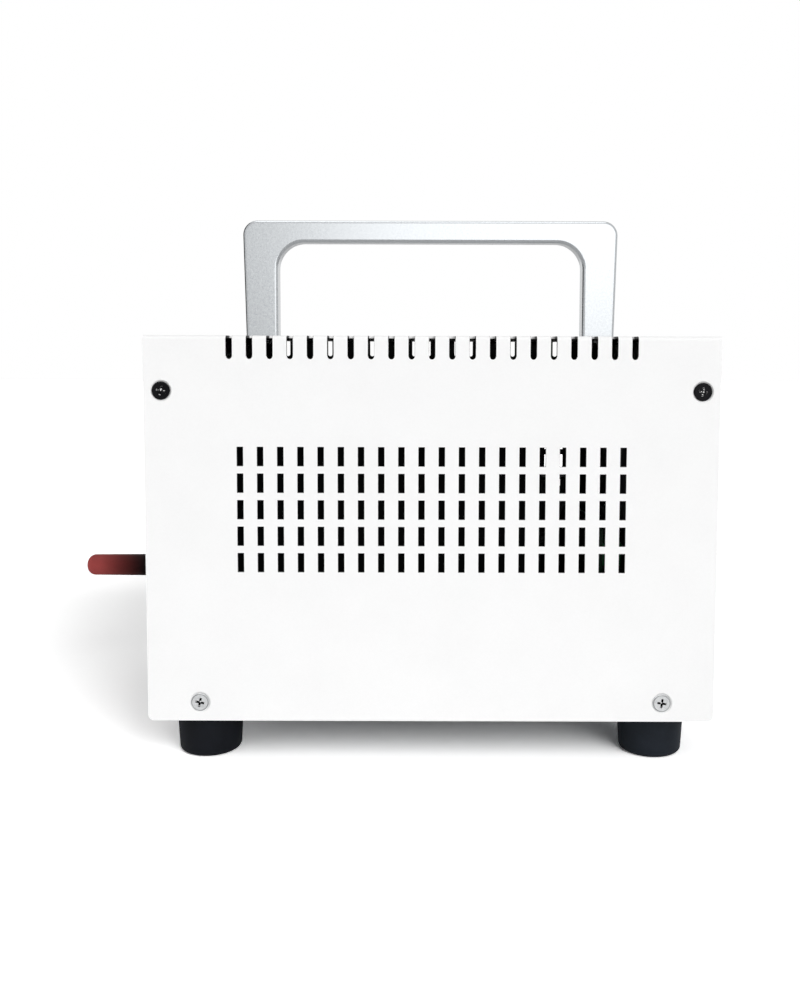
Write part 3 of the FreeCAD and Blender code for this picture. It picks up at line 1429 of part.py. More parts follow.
def band(points, thickness):
    """The outline of a flat strip that follows square turns."""
    spots = [(value(y), value(z)) for y, z in points]
    ways = [(math.copysign(1, y2 - y1) * (not same(y1, y2)), math.copysign(1, z2 - z1) * (not same(z1, z2)))
            for (y1, z1), (y2, z2) in zip(spots, spots[1:])]
    normals = [(-z, y) for y, z in ways]
    sides = [normals[0]]
    sides += [(a[0] + b[0], a[1] + b[1]) for a, b in zip(normals, normals[1:])]
    sides.append(normals[-1])
    left = [(f"{y} + {side[0]} * {thickness} / 2", f"{z} + {side[1]} * {thickness} / 2")
            for (y, z), side in zip(points, sides)]
    right = [(f"{y} - {side[0]} * {thickness} / 2", f"{z} - {side[1]} * {thickness} / 2")
             for (y, z), side in zip(points, sides)]
    return left + right[::-1]


def make_wiring():
    over_bracket = f"{FLOOR} + bracket_height + lead_over"
    block_y = f"{POWER_BACK} + terminal_depth / 2"
    block_z = f"{FLOOR} + terminal_low + terminal_height / 2"
    way = "terminal_width / terminal_ways"
    exit_z = f"{FLOOR} + terminal_low + terminal_height"
    leads = []
    for number in (-1, 1):
        x = f"terminal_across + {number} * {way}"
        leads.append(lead_along([
            (x, JACKET_REAR, exit_z),
            (x, f"{JACKET_REAR} + lead_out", exit_z),
            (x, f"{JACKET_REAR} + lead_out", over_bracket),
            (x, block_y, over_bracket),
            (x, block_y, block_z),
        ]))
    probe_end = f"{JACKET_REAR} + gland_length"
    x = f"terminal_across - 2 * {way}"
    leads.append(lead_along([
        ("probe_across", probe_end, PROBE_Z),
        ("probe_across", f"{probe_end} + lead_out / 2", PROBE_Z),
        (x, f"{probe_end} + lead_out / 2", over_bracket),
        (x, block_y, over_bracket),
        (x, block_y, block_z),
    ]))

    inlet_z = f"{FLOOR} + inlet_rise"
    tab_y = f"({REAR_BACK} - inlet_body_depth - pin_tab)"
    rocker_y = f"({REAR_BACK} - rocker_body_depth)"
    rocker_z = f"{FLOOR} + rocker_rise"
    neutral, live = "inlet_across - pin_spacing", "inlet_across + pin_spacing"
    low_pin = f"{inlet_z} - pin_offset"
    aside, above = f"{neutral} - lead_shift", f"{low_pin} + lead_rise"
    leads.append(lead_along([
        (neutral, tab_y, low_pin),
        (neutral, f"{tab_y} - lead_reach", low_pin),
        (aside, f"{tab_y} - lead_reach", above),
        (aside, POWER_BACK, above),
    ]))
    feed_x, feed_z = "rocker_across + rocker_tab", f"{rocker_z} + rocker_tab"
    leads.append(lead_along([
        (live, tab_y, low_pin),
        (live, f"{tab_y} - lead_reach", low_pin),
        (feed_x, f"{rocker_y} - lead_reach", feed_z),
        (feed_x, rocker_y, feed_z),
    ]))
    out_x, out_z = "rocker_across - rocker_tab", f"{rocker_z} - rocker_tab"
    leads.append(lead_along([
        (out_x, rocker_y, out_z),
        (out_x, f"{rocker_y} - lead_reach", out_z),
        (f"{out_x} - rocker_tab", f"{POWER_BACK} + lead_reach", f"{out_z} - rocker_tab"),
        (f"{out_x} - rocker_tab", POWER_BACK, f"{out_z} - rocker_tab"),
    ]))
    earth_z = f"{inlet_z} + pin_offset"
    leads.append(lead_along([
        ("inlet_across", tab_y, earth_z),
        ("inlet_across", f"{tab_y} - lead_reach", earth_z),
        ("inlet_across", f"{POWER_BACK} + lead_reach", f"{earth_z} - lead_drop"),
        ("inlet_across", POWER_BACK, f"{earth_z} - lead_drop"),
    ]))

    ribbon = new_body("ribbon_body")
    place(ribbon, "ribbon_across", "0", "0")
    start_z = f"({DISPLAY_MID} - board_height / 2 + ribbon_clear)"
    lie_z = f"({JACKET_TOP} + ribbon_thickness / 2)"
    cross_z = f"({FLOOR} + bracket_height + ribbon_clear)"
    drop_y = f"({JACKET_REAR} + ribbon_clear)"
    board_y = f"({POWER_FRONT} + board_thickness / 2)"
    fall_y = f"({BOARD_BACK} + ribbon_clear)"
    route = [
        (BOARD_BACK, start_z), (fall_y, start_z), (fall_y, lie_z), (drop_y, lie_z),
        (drop_y, cross_z), (board_y, cross_z), (board_y, f"({FLOOR} + power_high)"),
    ]
    pad(ribbon, "YZ_Plane", "-ribbon_width / 2", "ribbon_width", [band(route, "ribbon_thickness")])
    piece("wiring", group(leads + [ribbon]))


make_wiring()


def check_and_write():
    doc.recompute()
    for thing in doc.Objects:
        if "Invalid" in thing.State or "Error" in thing.State:
            raise ValueError(f"{thing.Name} ({thing.Label}) failed: {thing.State}")
    os.makedirs("parts", exist_ok=True)
    for thing in pieces:
        shape = thing.Shape
        if shape.isNull() or not shape.isValid():
            raise ValueError(f"{thing.Label} has no valid shape")
    for thing in pieces:
        thing.Shape.exportStep(f"parts/{thing.Label}.step")
        print(thing.Label, len(thing.Shape.Solids), round(thing.Shape.Volume))


check_and_write()
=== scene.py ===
import math

import bpy
from mathutils import Matrix, Vector


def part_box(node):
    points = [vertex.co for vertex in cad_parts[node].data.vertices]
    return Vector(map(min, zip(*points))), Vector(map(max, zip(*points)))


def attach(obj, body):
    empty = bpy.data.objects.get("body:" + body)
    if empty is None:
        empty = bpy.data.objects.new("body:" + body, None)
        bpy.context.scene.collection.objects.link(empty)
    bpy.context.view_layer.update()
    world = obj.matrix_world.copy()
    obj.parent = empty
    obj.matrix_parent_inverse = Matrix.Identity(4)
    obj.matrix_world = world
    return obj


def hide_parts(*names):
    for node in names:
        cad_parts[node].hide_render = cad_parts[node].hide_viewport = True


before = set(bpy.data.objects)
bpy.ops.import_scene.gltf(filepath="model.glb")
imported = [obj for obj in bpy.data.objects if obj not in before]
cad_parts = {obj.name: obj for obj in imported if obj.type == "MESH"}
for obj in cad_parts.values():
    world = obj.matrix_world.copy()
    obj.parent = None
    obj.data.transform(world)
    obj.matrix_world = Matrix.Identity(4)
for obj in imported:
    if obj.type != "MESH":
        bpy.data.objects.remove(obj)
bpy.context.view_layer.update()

MM = 0.001


# Base pan: the folded tray of galvanised sheet steel that everything stands in, left bare.
# Its flanges stand up inside the cover, and bosses pressed in its floor carry the chamber.
def tint(red, green, blue):
    """A colour as a paint chart gives it, 0 to 255, for a shader."""
    return [((c / 255 + 0.055) / 1.055) ** 2.4 if c > 10 else c / 3294.6
            for c in (red, green, blue)] + [1]


def new_finish(name, metallic=0.0, **plain):
    """A material with one shader, its plain values set on the shader itself."""
    finish = bpy.data.materials.new(name)
    finish.use_nodes = True
    shader = finish.node_tree.nodes["Principled BSDF"]
    shader.inputs["Metallic"].default_value = metallic
    for socket, number in plain.items():
        shader.inputs[socket.replace("_", " ")].default_value = number
    return finish


def node(finish, kind, inputs=(), **settings):
    """One more node in a finish; an input is a number, a colour or another node's output."""
    made = finish.node_tree.nodes.new("ShaderNode" + kind)
    for name, number in settings.items():
        setattr(made, name, number)
    for socket, given in dict(inputs).items():
        if isinstance(given, bpy.types.NodeSocket):
            finish.node_tree.links.new(given, made.inputs[socket])
        else:
            made.inputs[socket].default_value = given
    return made


def into_shader(finish, socket, output):
    """Lets an output drive one socket of the finish's shader."""
    shader = finish.node_tree.nodes["Principled BSDF"]
    finish.node_tree.links.new(output, shader.inputs[socket])


def place_on(finish, stretch=(1, 1, 1)):
    """Where a point lies on the object, with the grain drawn out along some axes."""
    where = node(finish, "TexCoord").outputs["Object"]
    return node(finish, "Mapping", {"Vector": where, "Scale": stretch}).outputs["Vector"]


def noise(finish, size, where, detail=2.0, roughness=0.5):
    """Uneven blots, each about one size across."""
    inputs = {"Vector": where, "Scale": 1 / size, "Detail": detail, "Roughness": roughness}
    return node(finish, "TexNoise", inputs).outputs["Fac"]


def ranged(finish, output, low, high, start=0.3, end=0.7):
    """An output that runs from start to end, brought to run from low to high."""
    inputs = {"Value": output, "From Min": start, "From Max": end, "To Min": low, "To Max": high}
    return node(finish, "MapRange", inputs).outputs["Result"]


def blended(finish, share, first, second, blend="MIX"):
    """A second colour over a first one, as far as the share goes."""
    first_colour, second_colour, mixed_colour = 6, 7, 2
    inputs = {"Factor": share, first_colour: first, second_colour: second}
    made = node(finish, "Mix", inputs, data_type="RGBA", blend_type=blend)
    return made.outputs[mixed_colour]


def shaded(finish, output, dark, light):
    """A colour that goes from dark to light with the noise."""
    return blended(finish, ranged(finish, output, 0, 1), tint(*dark), tint(*light))


def relief(finish, output, height, strength=0.6):
    """Fine unevenness of the surface, up to a height."""
    inputs = {"Height": output, "Distance": height, "Strength": strength}
    into_shader(finish, "Normal", node(finish, "Bump", inputs).outputs["Normal"])


def grained(name, dark, light, grain, rough, height, patch=30, **plain):
    """A finish whose shade, gloss and relief follow its grain, in clouds some grains across."""
    cloud_share = 0.6
    finish = new_finish(name, **plain)
    where = place_on(finish)
    fine = noise(finish, grain, where)
    clouds = noise(finish, grain * patch, where, detail=3.0)
    both = node(finish, "Mix", {"Factor": cloud_share, "A": fine, "B": clouds}).outputs["Result"]
    into_shader(finish, "Base Color", shaded(finish, both, dark, light))
    into_shader(finish, "Roughness", ranged(finish, both, *rough))
    relief(finish, fine, height)
    return finish


def dress(finish, *names):
    """Puts one finish on nodes of the frame."""
    for name in names:
        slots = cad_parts[name].data.materials
        slots.clear()
        slots.append(finish)


def galvanised_sheet():
    """Zinc that has set in large flat crystals."""
    crystal_size, grain, height = 7 * MM, 0.6 * MM, 0.008 * MM
    finish = new_finish("galvanised_sheet", metallic=1.0)
    where = place_on(finish)
    crystal = node(finish, "TexVoronoi", {"Vector": where, "Scale": 1 / crystal_size})
    shade = node(finish, "SeparateColor", {"Color": crystal.outputs["Color"]}).outputs["Red"]
    into_shader(finish, "Base Color", shaded(finish, shade, (112, 116, 119), (140, 143, 146)))
    into_shader(finish, "Roughness", ranged(finish, shade, 0.42, 0.6, start=0, end=1))
    relief(finish, noise(finish, grain, where), height)
    return finish


galvanised = galvanised_sheet()
dress(galvanised, "base_pan")


# Feet: four turned rubber feet with a recess below, each held by a bolt through the base pan. The
# rear pair is painted lighter and bluer, a painted sheen for the light from that side. The bolts
# are zinc plated, and two more hold the carrying handle.
rubber_feel = dict(grain=0.5 * MM, rough=(0.5, 0.64), height=0.03 * MM, Specular_IOR_Level=0.12)
rubber = grained("foot_rubber", dark=(12, 14, 18), light=(22, 25, 31), **rubber_feel)
# Painted sheen: the rear feet get a lighter, bluer rubber than the front ones.
sheen_rubber = grained("sheen_rubber", dark=(24, 28, 34), light=(34, 39, 46), **rubber_feel)
bright_zinc = grained("bright_zinc", dark=(206, 208, 210), light=(226, 227, 228),
                      grain=0.35 * MM, rough=(0.28, 0.42), height=0.006 * MM, metallic=1.0)
dress(rubber, "foot_front_left", "foot_front_right")
dress(sheen_rubber, "foot_rear_left", "foot_rear_right")
dress(bright_zinc, "case_bolts")


# Heating chamber: a sheet jacket on two galvanised runners, lined with mineral wool. The jacket's
# stove black is also painted shade, dark enough that what shows through the vents reads black.
# Inside it sits a folded liner of heat-tinted stainless steel, open to the front.
def brushed(name, dark, light, along, rough, tinted=None):
    """Sheet metal with fine lines along one axis, tinted in patches where it has been hot."""
    line_width, drawn_out, line_height = 0.12 * MM, 0.02, 0.004 * MM
    patch_size, patch_share = 45 * MM, 0.8
    finish = new_finish(name, metallic=1.0)
    stretch = [drawn_out if axis == along else 1 for axis in "xyz"]
    fine = noise(finish, line_width, place_on(finish, stretch), detail=3.0)
    colour = shaded(finish, fine, dark, light)
    if tinted:
        patches = noise(finish, patch_size, place_on(finish), detail=3.0)
        share = ranged(finish, patches, 0, patch_share)
        colour = blended(finish, share, colour, tint(*tinted), "MULTIPLY")
    into_shader(finish, "Base Color", colour)
    into_shader(finish, "Roughness", ranged(finish, fine, *rough))
    relief(finish, fine, line_height)
    return finish


def mineral_wool():
    """Matted yellowish fibres lying in all directions."""
    curl_size, curl_reach, fibre, height = 6 * MM, 8 * MM, 0.5 * MM, 0.5 * MM
    finish = new_finish("mineral_wool", Sheen_Weight=0.3)
    where = place_on(finish)
    curl = node(finish, "TexNoise", {"Vector": where, "Scale": 1 / curl_size}).outputs["Color"]
    shift = node(finish, "VectorMath", {0: curl, "Scale": curl_reach}, operation="SCALE")
    bent = node(finish, "VectorMath", {0: where, 1: shift.outputs["Vector"]}, operation="ADD")
    fibres = noise(finish, fibre, bent.outputs["Vector"], detail=4.0, roughness=0.7)
    into_shader(finish, "Base Color", shaded(finish, fibres, (168, 156, 122), (214, 206, 176)))
    into_shader(finish, "Roughness", ranged(finish, fibres, 0.85, 1.0))
    relief(finish, fibres, height, strength=0.9)
    return finish


# Painted shade: near-black paint for the jacket and the power bracket, seen through the vents.
stove_black = grained("stove_black", dark=(16, 16, 17), light=(24, 24, 25),
                      grain=0.8 * MM, rough=(0.7, 0.85), height=0.03 * MM, Specular_IOR_Level=0.1)
warm_steel = brushed("warm_steel", dark=(178, 176, 172), light=(206, 204, 200), along="y",
                     rough=(0.26, 0.42), tinted=(224, 196, 150))
dress(galvanised, "chamber_runners")
dress(stove_black, "chamber_jacket")
dress(mineral_wool(), "chamber_insulation")
dress(warm_steel, "chamber_liner")


# Heaters: five quartz tubes across the chamber, three above and two below, in ceramic caps.
# Each has a coil wound from resistance wire; the thermocouple is a thin steel probe in a gland.
def new_piece(name, points, faces, finish, body, slot, smooth=True):
    """A piece of its own, built where it sits, that moves with one body."""
    sharp_angle = math.radians(35)
    mesh = bpy.data.meshes.new(name)
    mesh.from_pydata([tuple(p) for p in points], [], faces)
    mesh.validate()
    if smooth:
        mesh.shade_smooth()
        mesh.set_sharp_from_angle(angle=sharp_angle)
    mesh.materials.append(finish)
    piece = bpy.data.objects.new(name, mesh)
    bpy.context.scene.collection.objects.link(piece)
    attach(piece, body)
    return piece


def wire_along(path, radius, sides=6):
    """The skin of a wire that follows a path, closed at both ends."""
    off_path = Vector((0.3, 0.4, 0.9))
    points, faces = [], []
    for index, here in enumerate(path):
        ahead = (path[min(index + 1, len(path) - 1)] - path[max(index - 1, 0)]).normalized()
        across = ahead.cross(off_path).normalized()
        up = across.cross(ahead)
        for side in range(sides):
            turn = 2 * math.pi * side / sides
            points.append(here + radius * (math.cos(turn) * across + math.sin(turn) * up))
    for ring in range(len(path) - 1):
        for side in range(sides):
            a, b = ring * sides + side, ring * sides + (side + 1) % sides
            faces.append((a, a + sides, b + sides, b))
    faces.append(tuple(range(sides)))
    faces.append(tuple(range((len(path) - 1) * sides, len(path) * sides))[::-1])
    return points, faces


quartz = grained("quartz_tube", dark=(232, 232, 230), light=(250, 250, 248), grain=3 * MM,
                 rough=(0.06, 0.22), height=0.02 * MM, Transmission_Weight=0.85, IOR=1.46)
ceramic = grained("heater_ceramic", dark=(214, 208, 196), light=(234, 230, 220),
                  grain=0.4 * MM, rough=(0.5, 0.7), height=0.02 * MM)
probe_steel = brushed("probe_steel", dark=(176, 178, 180), light=(206, 207, 208), along="y",
                      rough=(0.2, 0.34))
wire_grey = grained("heater_wire", dark=(70, 66, 62), light=(104, 98, 92),
                    grain=0.3 * MM, rough=(0.4, 0.6), height=0.01 * MM, metallic=1.0)
dress(quartz, "heater_tubes")
dress(ceramic, "heater_caps")
dress(probe_steel, "thermocouple")

coil_low, coil_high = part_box("heater_filaments")
coil_radius, wire_radius, coil_pitch, coil_steps = 2.25 * MM, 0.32 * MM, 1.7 * MM, 12
straight_end = 7 * MM
lead = 0.8 * straight_end
upper_y = [coil_low.y + coil_radius, (coil_low.y + coil_high.y) / 2, coil_high.y - coil_radius]
lower_y = [(upper_y[0] + upper_y[1]) / 2, (upper_y[1] + upper_y[2]) / 2]
coils = ([(y, coil_high.z - coil_radius) for y in upper_y]
         + [(y, coil_low.z + coil_radius) for y in lower_y])
wound = coil_high.x - coil_low.x - 2 * straight_end
total_steps = round(wound / coil_pitch) * coil_steps
wire_middle = coil_radius - wire_radius
coil_points, coil_faces = [], []
for y, z in coils:
    path = [Vector((coil_low.x, y, z)), Vector((coil_low.x + lead, y, z))]
    for step in range(total_steps + 1):
        turn = 2 * math.pi * step / coil_steps
        x = coil_low.x + straight_end + wound * step / total_steps
        path.append(Vector((x, y + wire_middle * math.cos(turn), z + wire_middle * math.sin(turn))))
    path += [Vector((coil_high.x - lead, y, z)), Vector((coil_high.x, y, z))]
    points, faces = wire_along(path, wire_radius)
    start = len(coil_points)
    coil_points += points
    coil_faces += [tuple(index + start for index in face) for face in faces]
heater_coils = new_piece("heater_coils", coil_points, coil_faces, wire_grey, "casing",
                         "heater_wire")
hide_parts("heater_filaments")


# Rails: a pair of telescopic slides of zinc-plated steel, three channels in one another.
# The outer ones are fixed in the chamber, the inner ones carry the drawer's tray.
rail_zinc = brushed("rail_zinc", dark=(168, 172, 176), light=(204, 207, 210), along="y",
                    rough=(0.26, 0.4), tinted=(206, 200, 178))
for part in ("outer", "middle", "inner"):
    dress(rail_zinc, f"{part}_rail_left", f"{part}_rail_right")


# Drawer: a folded steel tray with a wire rack for the circuit boards, behind a black coated
# front with a glass window. A silicone seal is glued round its back, and two screws hold the tray.
chrome = grained("rack_chrome", dark=(204, 206, 208), light=(222, 223, 224),
                 grain=0.8 * MM, rough=(0.1, 0.2), height=0.004 * MM, metallic=1.0)
drawer_black = grained("drawer_black", dark=(26, 26, 27), light=(36, 36, 37), grain=0.45 * MM,
                       rough=(0.42, 0.56), height=0.03 * MM, Specular_IOR_Level=0.3)
window_glass = grained("window_glass", dark=(236, 244, 240), light=(246, 250, 248), grain=20 * MM,
                       rough=(0.02, 0.05), height=0.002 * MM, Transmission_Weight=1.0, IOR=1.47)
seal_red = grained("seal_silicone", dark=(150, 52, 40), light=(172, 66, 52),
                   grain=0.5 * MM, rough=(0.5, 0.66), height=0.02 * MM)
dress(warm_steel, "drawer_tray")
dress(chrome, "circuit_rack")
dress(drawer_black, "drawer_front")
dress(window_glass, "drawer_window")

seal_low, seal_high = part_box("drawer_seal")
seal_width = {"side": 6.5 * MM, "low": 4 * MM, "high": 6 * MM}
inner_corner, outer_corner = 2 * MM, 5 * MM
bulge_steps, corner_steps, bulge_power = 12, 6, 0.4
seal_points, seal_faces = [], []
for bulge in range(bulge_steps + 1):
    out = bulge / bulge_steps
    x = seal_high.x - seal_width["side"] * (1 - out)
    low = seal_low.z + seal_width["low"] * (1 - out)
    high = seal_high.z - seal_width["high"] * (1 - out)
    radius = inner_corner + (outer_corner - inner_corner) * out
    y = seal_low.y + (seal_high.y - seal_low.y) * math.sin(math.pi * out) ** bulge_power
    for corner, (side, end) in enumerate(((1, high), (-1, high), (-1, low), (1, low))):
        inward = -1 if end == high else 1
        for step in range(corner_steps + 1):
            turn = math.pi / 2 * (corner + step / corner_steps)
            seal_points.append((side * (x - radius) + radius * math.cos(turn), y,
                                end + inward * radius + radius * math.sin(turn)))
loop = 4 * (corner_steps + 1)
for bulge in range(bulge_steps + 1):
    here, ahead = bulge * loop, (bulge + 1) % (bulge_steps + 1) * loop
    for step in range(loop):
        after = (step + 1) % loop
        seal_faces.append((here + step, ahead + step, ahead + after, here + after))
seal = new_piece("drawer_gasket", seal_points, seal_faces, seal_red, "drawer", "seal_silicone")
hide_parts("drawer_seal")


# Pull: a dark red moulded grip on a steel stem, with a black spacer against the drawer.
# The stem's head is inside the drawer, so the grip screws on from the front.
def arithmetic(finish, kind, first, second=0.0):
    """One step of arithmetic between two outputs or numbers."""
    return node(finish, "Math", {0: first, 1: second}, operation=kind).outputs[0]


def axes_of(finish):
    """The three lengths that place a point on the object, by axis."""
    where = node(finish, "TexCoord").outputs["Object"]
    return node(finish, "SeparateXYZ", {"Vector": where}).outputs


def toned(finish, share, colour):
    """Lays another colour over a finish, as far as the share goes."""
    shader = finish.node_tree.nodes["Principled BSDF"]
    plain = shader.inputs["Base Color"].links[0].from_socket
    into_shader(finish, "Base Color", blended(finish, share, plain, tint(*colour)))


def painted_shade_to_root(finish, node_name, full, root_shade):
    """Paints shade along the grip, from its full colour at the nose to a dark root."""
    fade = 1.5
    low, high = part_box(node_name)
    left = ranged(finish, axes_of(finish)["Y"], 1, 0, start=low.y + full, end=high.y)
    shade_share = arithmetic(finish, "SUBTRACT", 1.0, arithmetic(finish, "POWER", left, fade))
    toned(finish, shade_share, root_shade)


grip_red = grained("grip_red", dark=(164, 73, 71), light=(178, 81, 79), grain=0.5 * MM,
                   rough=(0.4, 0.5), height=0.012 * MM, Specular_IOR_Level=0.06)
# Painted shade: the grip darkens towards its root, where the case shades it.
painted_shade_to_root(grip_red, "pull_grip", full=9 * MM, root_shade=(20, 7, 8))
spacer_black = grained("spacer_black", dark=(22, 20, 20), light=(34, 31, 31),
                       grain=0.4 * MM, rough=(0.4, 0.52), height=0.01 * MM)
dress(grip_red, "pull_grip")
dress(spacer_black, "pull_spacer")
dress(probe_steel, "pull_stem")


# Front panel: white coated sheet with the drawer's mouth, and over it a black fascia with a
# lens for the display and four round keys. The control board hangs behind on nylon spacers.
def circuit_board():
    """Green solder mask with copper tracks under it."""
    cell_scale, track_share, grain, height = 60.0, 0.06, 0.5 * MM, 0.03 * MM
    finish = new_finish("circuit_board", Coat_Weight=0.3, Coat_Roughness=0.2)
    where = place_on(finish)
    cells = node(finish, "TexBrick", {
        "Vector": where, "Scale": cell_scale, "Mortar Size": track_share,
        "Color1": tint(11, 50, 29), "Color2": tint(14, 58, 34), "Mortar": tint(22, 76, 45)})
    into_shader(finish, "Base Color", cells.outputs["Color"])
    into_shader(finish, "Roughness", ranged(finish, noise(finish, grain, where), 0.3, 0.45))
    relief(finish, cells.outputs["Fac"], height)
    return finish


def display_panel():
    """The grey-green face of a liquid crystal display with its fine net of dots."""
    dot_pitch, cloud = 0.45 * MM, 2 * MM
    finish = new_finish("display_panel", Coat_Weight=0.4, Coat_Roughness=0.1)
    axes = axes_of(finish)
    lines = []
    for axis in ("X", "Z"):
        wave = arithmetic(finish, "MULTIPLY", axes[axis], 2 * math.pi / dot_pitch)
        lines.append(arithmetic(finish, "COSINE", wave))
    net = ranged(finish, arithmetic(finish, "MAXIMUM", *lines), 0, 1, start=0.85, end=1.0)
    into_shader(finish, "Base Color", shaded(finish, net, (126, 140, 112), (112, 126, 100)))
    clouds = noise(finish, cloud, place_on(finish))
    into_shader(finish, "Roughness", ranged(finish, clouds, 0.3, 0.4))
    return finish


board_green = circuit_board()
fascia_black = grained("fascia_black", dark=(18, 18, 20), light=(26, 26, 28), grain=0.3 * MM,
                       rough=(0.36, 0.46), height=0.012 * MM, Specular_IOR_Level=0.3)
lens = grained("display_lens", dark=(236, 240, 238), light=(240, 244, 242), grain=20 * MM,
               rough=(0.03, 0.06), height=0.002 * MM, Transmission_Weight=1.0, IOR=1.49)
nylon = grained("spacer_nylon", dark=(224, 220, 206), light=(236, 233, 222),
                grain=0.5 * MM, rough=(0.4, 0.5), height=0.01 * MM)
switch_black = grained("switch_black", dark=(22, 22, 24), light=(32, 32, 34),
                       grain=0.4 * MM, rough=(0.45, 0.6), height=0.01 * MM)
key_grey = grained("button_grey", dark=(176, 178, 180), light=(188, 190, 192),
                   grain=0.35 * MM, rough=(0.42, 0.54), height=0.012 * MM)
white = dict(dark=(240, 240, 240), light=(244, 244, 244), grain=1.1 * MM, rough=(0.42, 0.5),
             height=0.012 * MM, Specular_IOR_Level=0.3)
white_coat = grained("white_coat", **white)
dress(white_coat, "front_panel")
dress(fascia_black, "control_fascia")
dress(lens, "display_window")
dress(display_panel(), "display_module")
dress(board_green, "control_board")
dress(nylon, "board_spacers")
dress(switch_black, "push_switches")
dress(key_grey, "button_1", "button_2", "button_3", "button_4")


# Segments: the resting segments of the display, three large figures that show faintly when it
# is off. They lie on the face of the display behind the lens.
def plate_of(outlines, front, thickness):
    """Flat plates from outlines in x and z, facing the front of the oven."""
    points, faces = [], []
    for outline in outlines:
        start, size = len(points), len(outline)
        points += [(x, front, z) for x, z in outline]
        points += [(x, front + thickness, z) for x, z in outline]
        faces.append(tuple(range(start, start + size)))
        faces.append(tuple(range(start + size, start + 2 * size))[::-1])
        for side in range(size):
            after = (side + 1) % size
            faces.append((start + side, start + size + side, start + size + after, start + after))
    return points, faces


segment_ink = grained("segment_ink", dark=(104, 117, 93), light=(108, 121, 96),
                      grain=0.5 * MM, rough=(0.3, 0.4), height=0.002 * MM)
module_low, module_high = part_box("display_module")
figure_wide, figure_tall, figure_pitch = 12 * MM, 22 * MM, 17 * MM
half, gap, ink_thick = 1.3 * MM, 0.25 * MM, 0.05 * MM
middle_x, middle_z = (module_low.x + module_high.x) / 2, (module_low.z + module_high.z) / 2
figure_outlines = []
for figure in (-1, 0, 1):
    centre = middle_x + figure * figure_pitch
    left, right = centre - figure_wide / 2, centre + figure_wide / 2
    bottom, top = middle_z - figure_tall / 2, middle_z + figure_tall / 2
    for z in (bottom + half, middle_z, top - half):
        start, end = left + half + gap, right - half - gap
        figure_outlines.append([(start, z), (start + half, z - half), (end - half, z - half),
                                (end, z), (end - half, z + half), (start + half, z + half)])
    for x in (left + half, right - half):
        for low, high in ((bottom + half, middle_z), (middle_z, top - half)):
            low, high = low + gap, high - gap
            figure_outlines.append([(x, low), (x + half, low + half), (x + half, high - half),
                                    (x, high), (x - half, high - half), (x - half, low + half)])
new_piece("display_segments", *plate_of(figure_outlines, module_low.y - ink_thick, ink_thick),
          segment_ink, "casing", "display_panel", smooth=False)


# Key marks: an arrow up, an arrow down, a tick and a ring, printed in dark ink on the keys.
# Each mark is drawn in millimetres from the middle of its key, and moves with it.
mark_ink = grained("mark_ink", dark=(46, 47, 49), light=(54, 55, 57),
                   grain=0.3 * MM, rough=(0.5, 0.6), height=0.003 * MM)
mark_thick = 0.08 * MM
ring_steps, ring_inner, ring_outer = 32, 1.75, 2.4
ring = []
for step in range(ring_steps):
    first, last = [2 * math.pi * index / ring_steps for index in (step, step + 1)]
    corners = ((ring_inner, first), (ring_outer, first), (ring_outer, last), (ring_inner, last))
    ring.append([(radius * math.sin(turn), radius * math.cos(turn)) for radius, turn in corners])
marks = {
    1: [[(-2.6, -1.6), (2.6, -1.6), (0, 2.4)]],
    2: [[(-2.6, 1.6), (0, -2.4), (2.6, 1.6)]],
    3: [[(-2.6, 0.1), (-0.8, -2.2), (-0.8, -1.1), (-1.9, 0.7)],
        [(-0.8, -2.2), (2.7, 1.6), (2.0, 2.2), (-0.8, -1.1)]],
    4: ring,
}
for number, outlines in marks.items():
    key_low, key_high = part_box(f"button_{number}")
    x, z = (key_low.x + key_high.x) / 2, (key_low.z + key_high.z) / 2
    placed = [[(x + a * MM, z + b * MM) for a, b in outline] for outline in outlines]
    points, faces = plate_of(placed, key_low.y - mark_thick / 2, mark_thick)
    new_piece(f"key_mark_{number}", points, faces, mark_ink,
              f"push_button_{number}", "button_grey", smooth=False)


# Power supply: a board on a folded black bracket behind the chamber, with the transformer, the
# relay under a black anodised heat sink, and a screw terminal block. Black sleeved leads run to
# the heaters. The black of the bracket, the heat sink and the sleeves is also painted shade, so
# that what shows through the vents stays dark.
tape_yellow = grained("transformer_tape", dark=(196, 160, 58), light=(212, 178, 74),
                      grain=3 * MM, rough=(0.3, 0.42), height=0.02 * MM)
relay_black = grained("relay_case", dark=(24, 25, 27), light=(34, 35, 37),
                      grain=0.4 * MM, rough=(0.4, 0.5), height=0.01 * MM)
# Painted shade: the heat sink is near black so that it stays dark through the vents.
sink_black = brushed("sink_aluminium", dark=(30, 30, 32), light=(42, 42, 44), along="z",
                     rough=(0.4, 0.56))
terminal_green = grained("terminal_green", dark=(34, 112, 66), light=(44, 126, 76),
                         grain=0.4 * MM, rough=(0.36, 0.48), height=0.01 * MM)
# Painted shade: the leads' sleeves are near black so that they stay dark through the vents.
sleeve = grained("lead_sleeve", dark=(22, 22, 23), light=(32, 32, 33),
                 grain=0.6 * MM, rough=(0.6, 0.8), height=0.06 * MM)
dress(stove_black, "power_bracket")
dress(board_green, "power_board")
dress(tape_yellow, "transformer")
dress(relay_black, "heater_relay")
dress(sink_black, "heat_sink")
dress(terminal_green, "terminal_block")
dress(sleeve, "wiring")


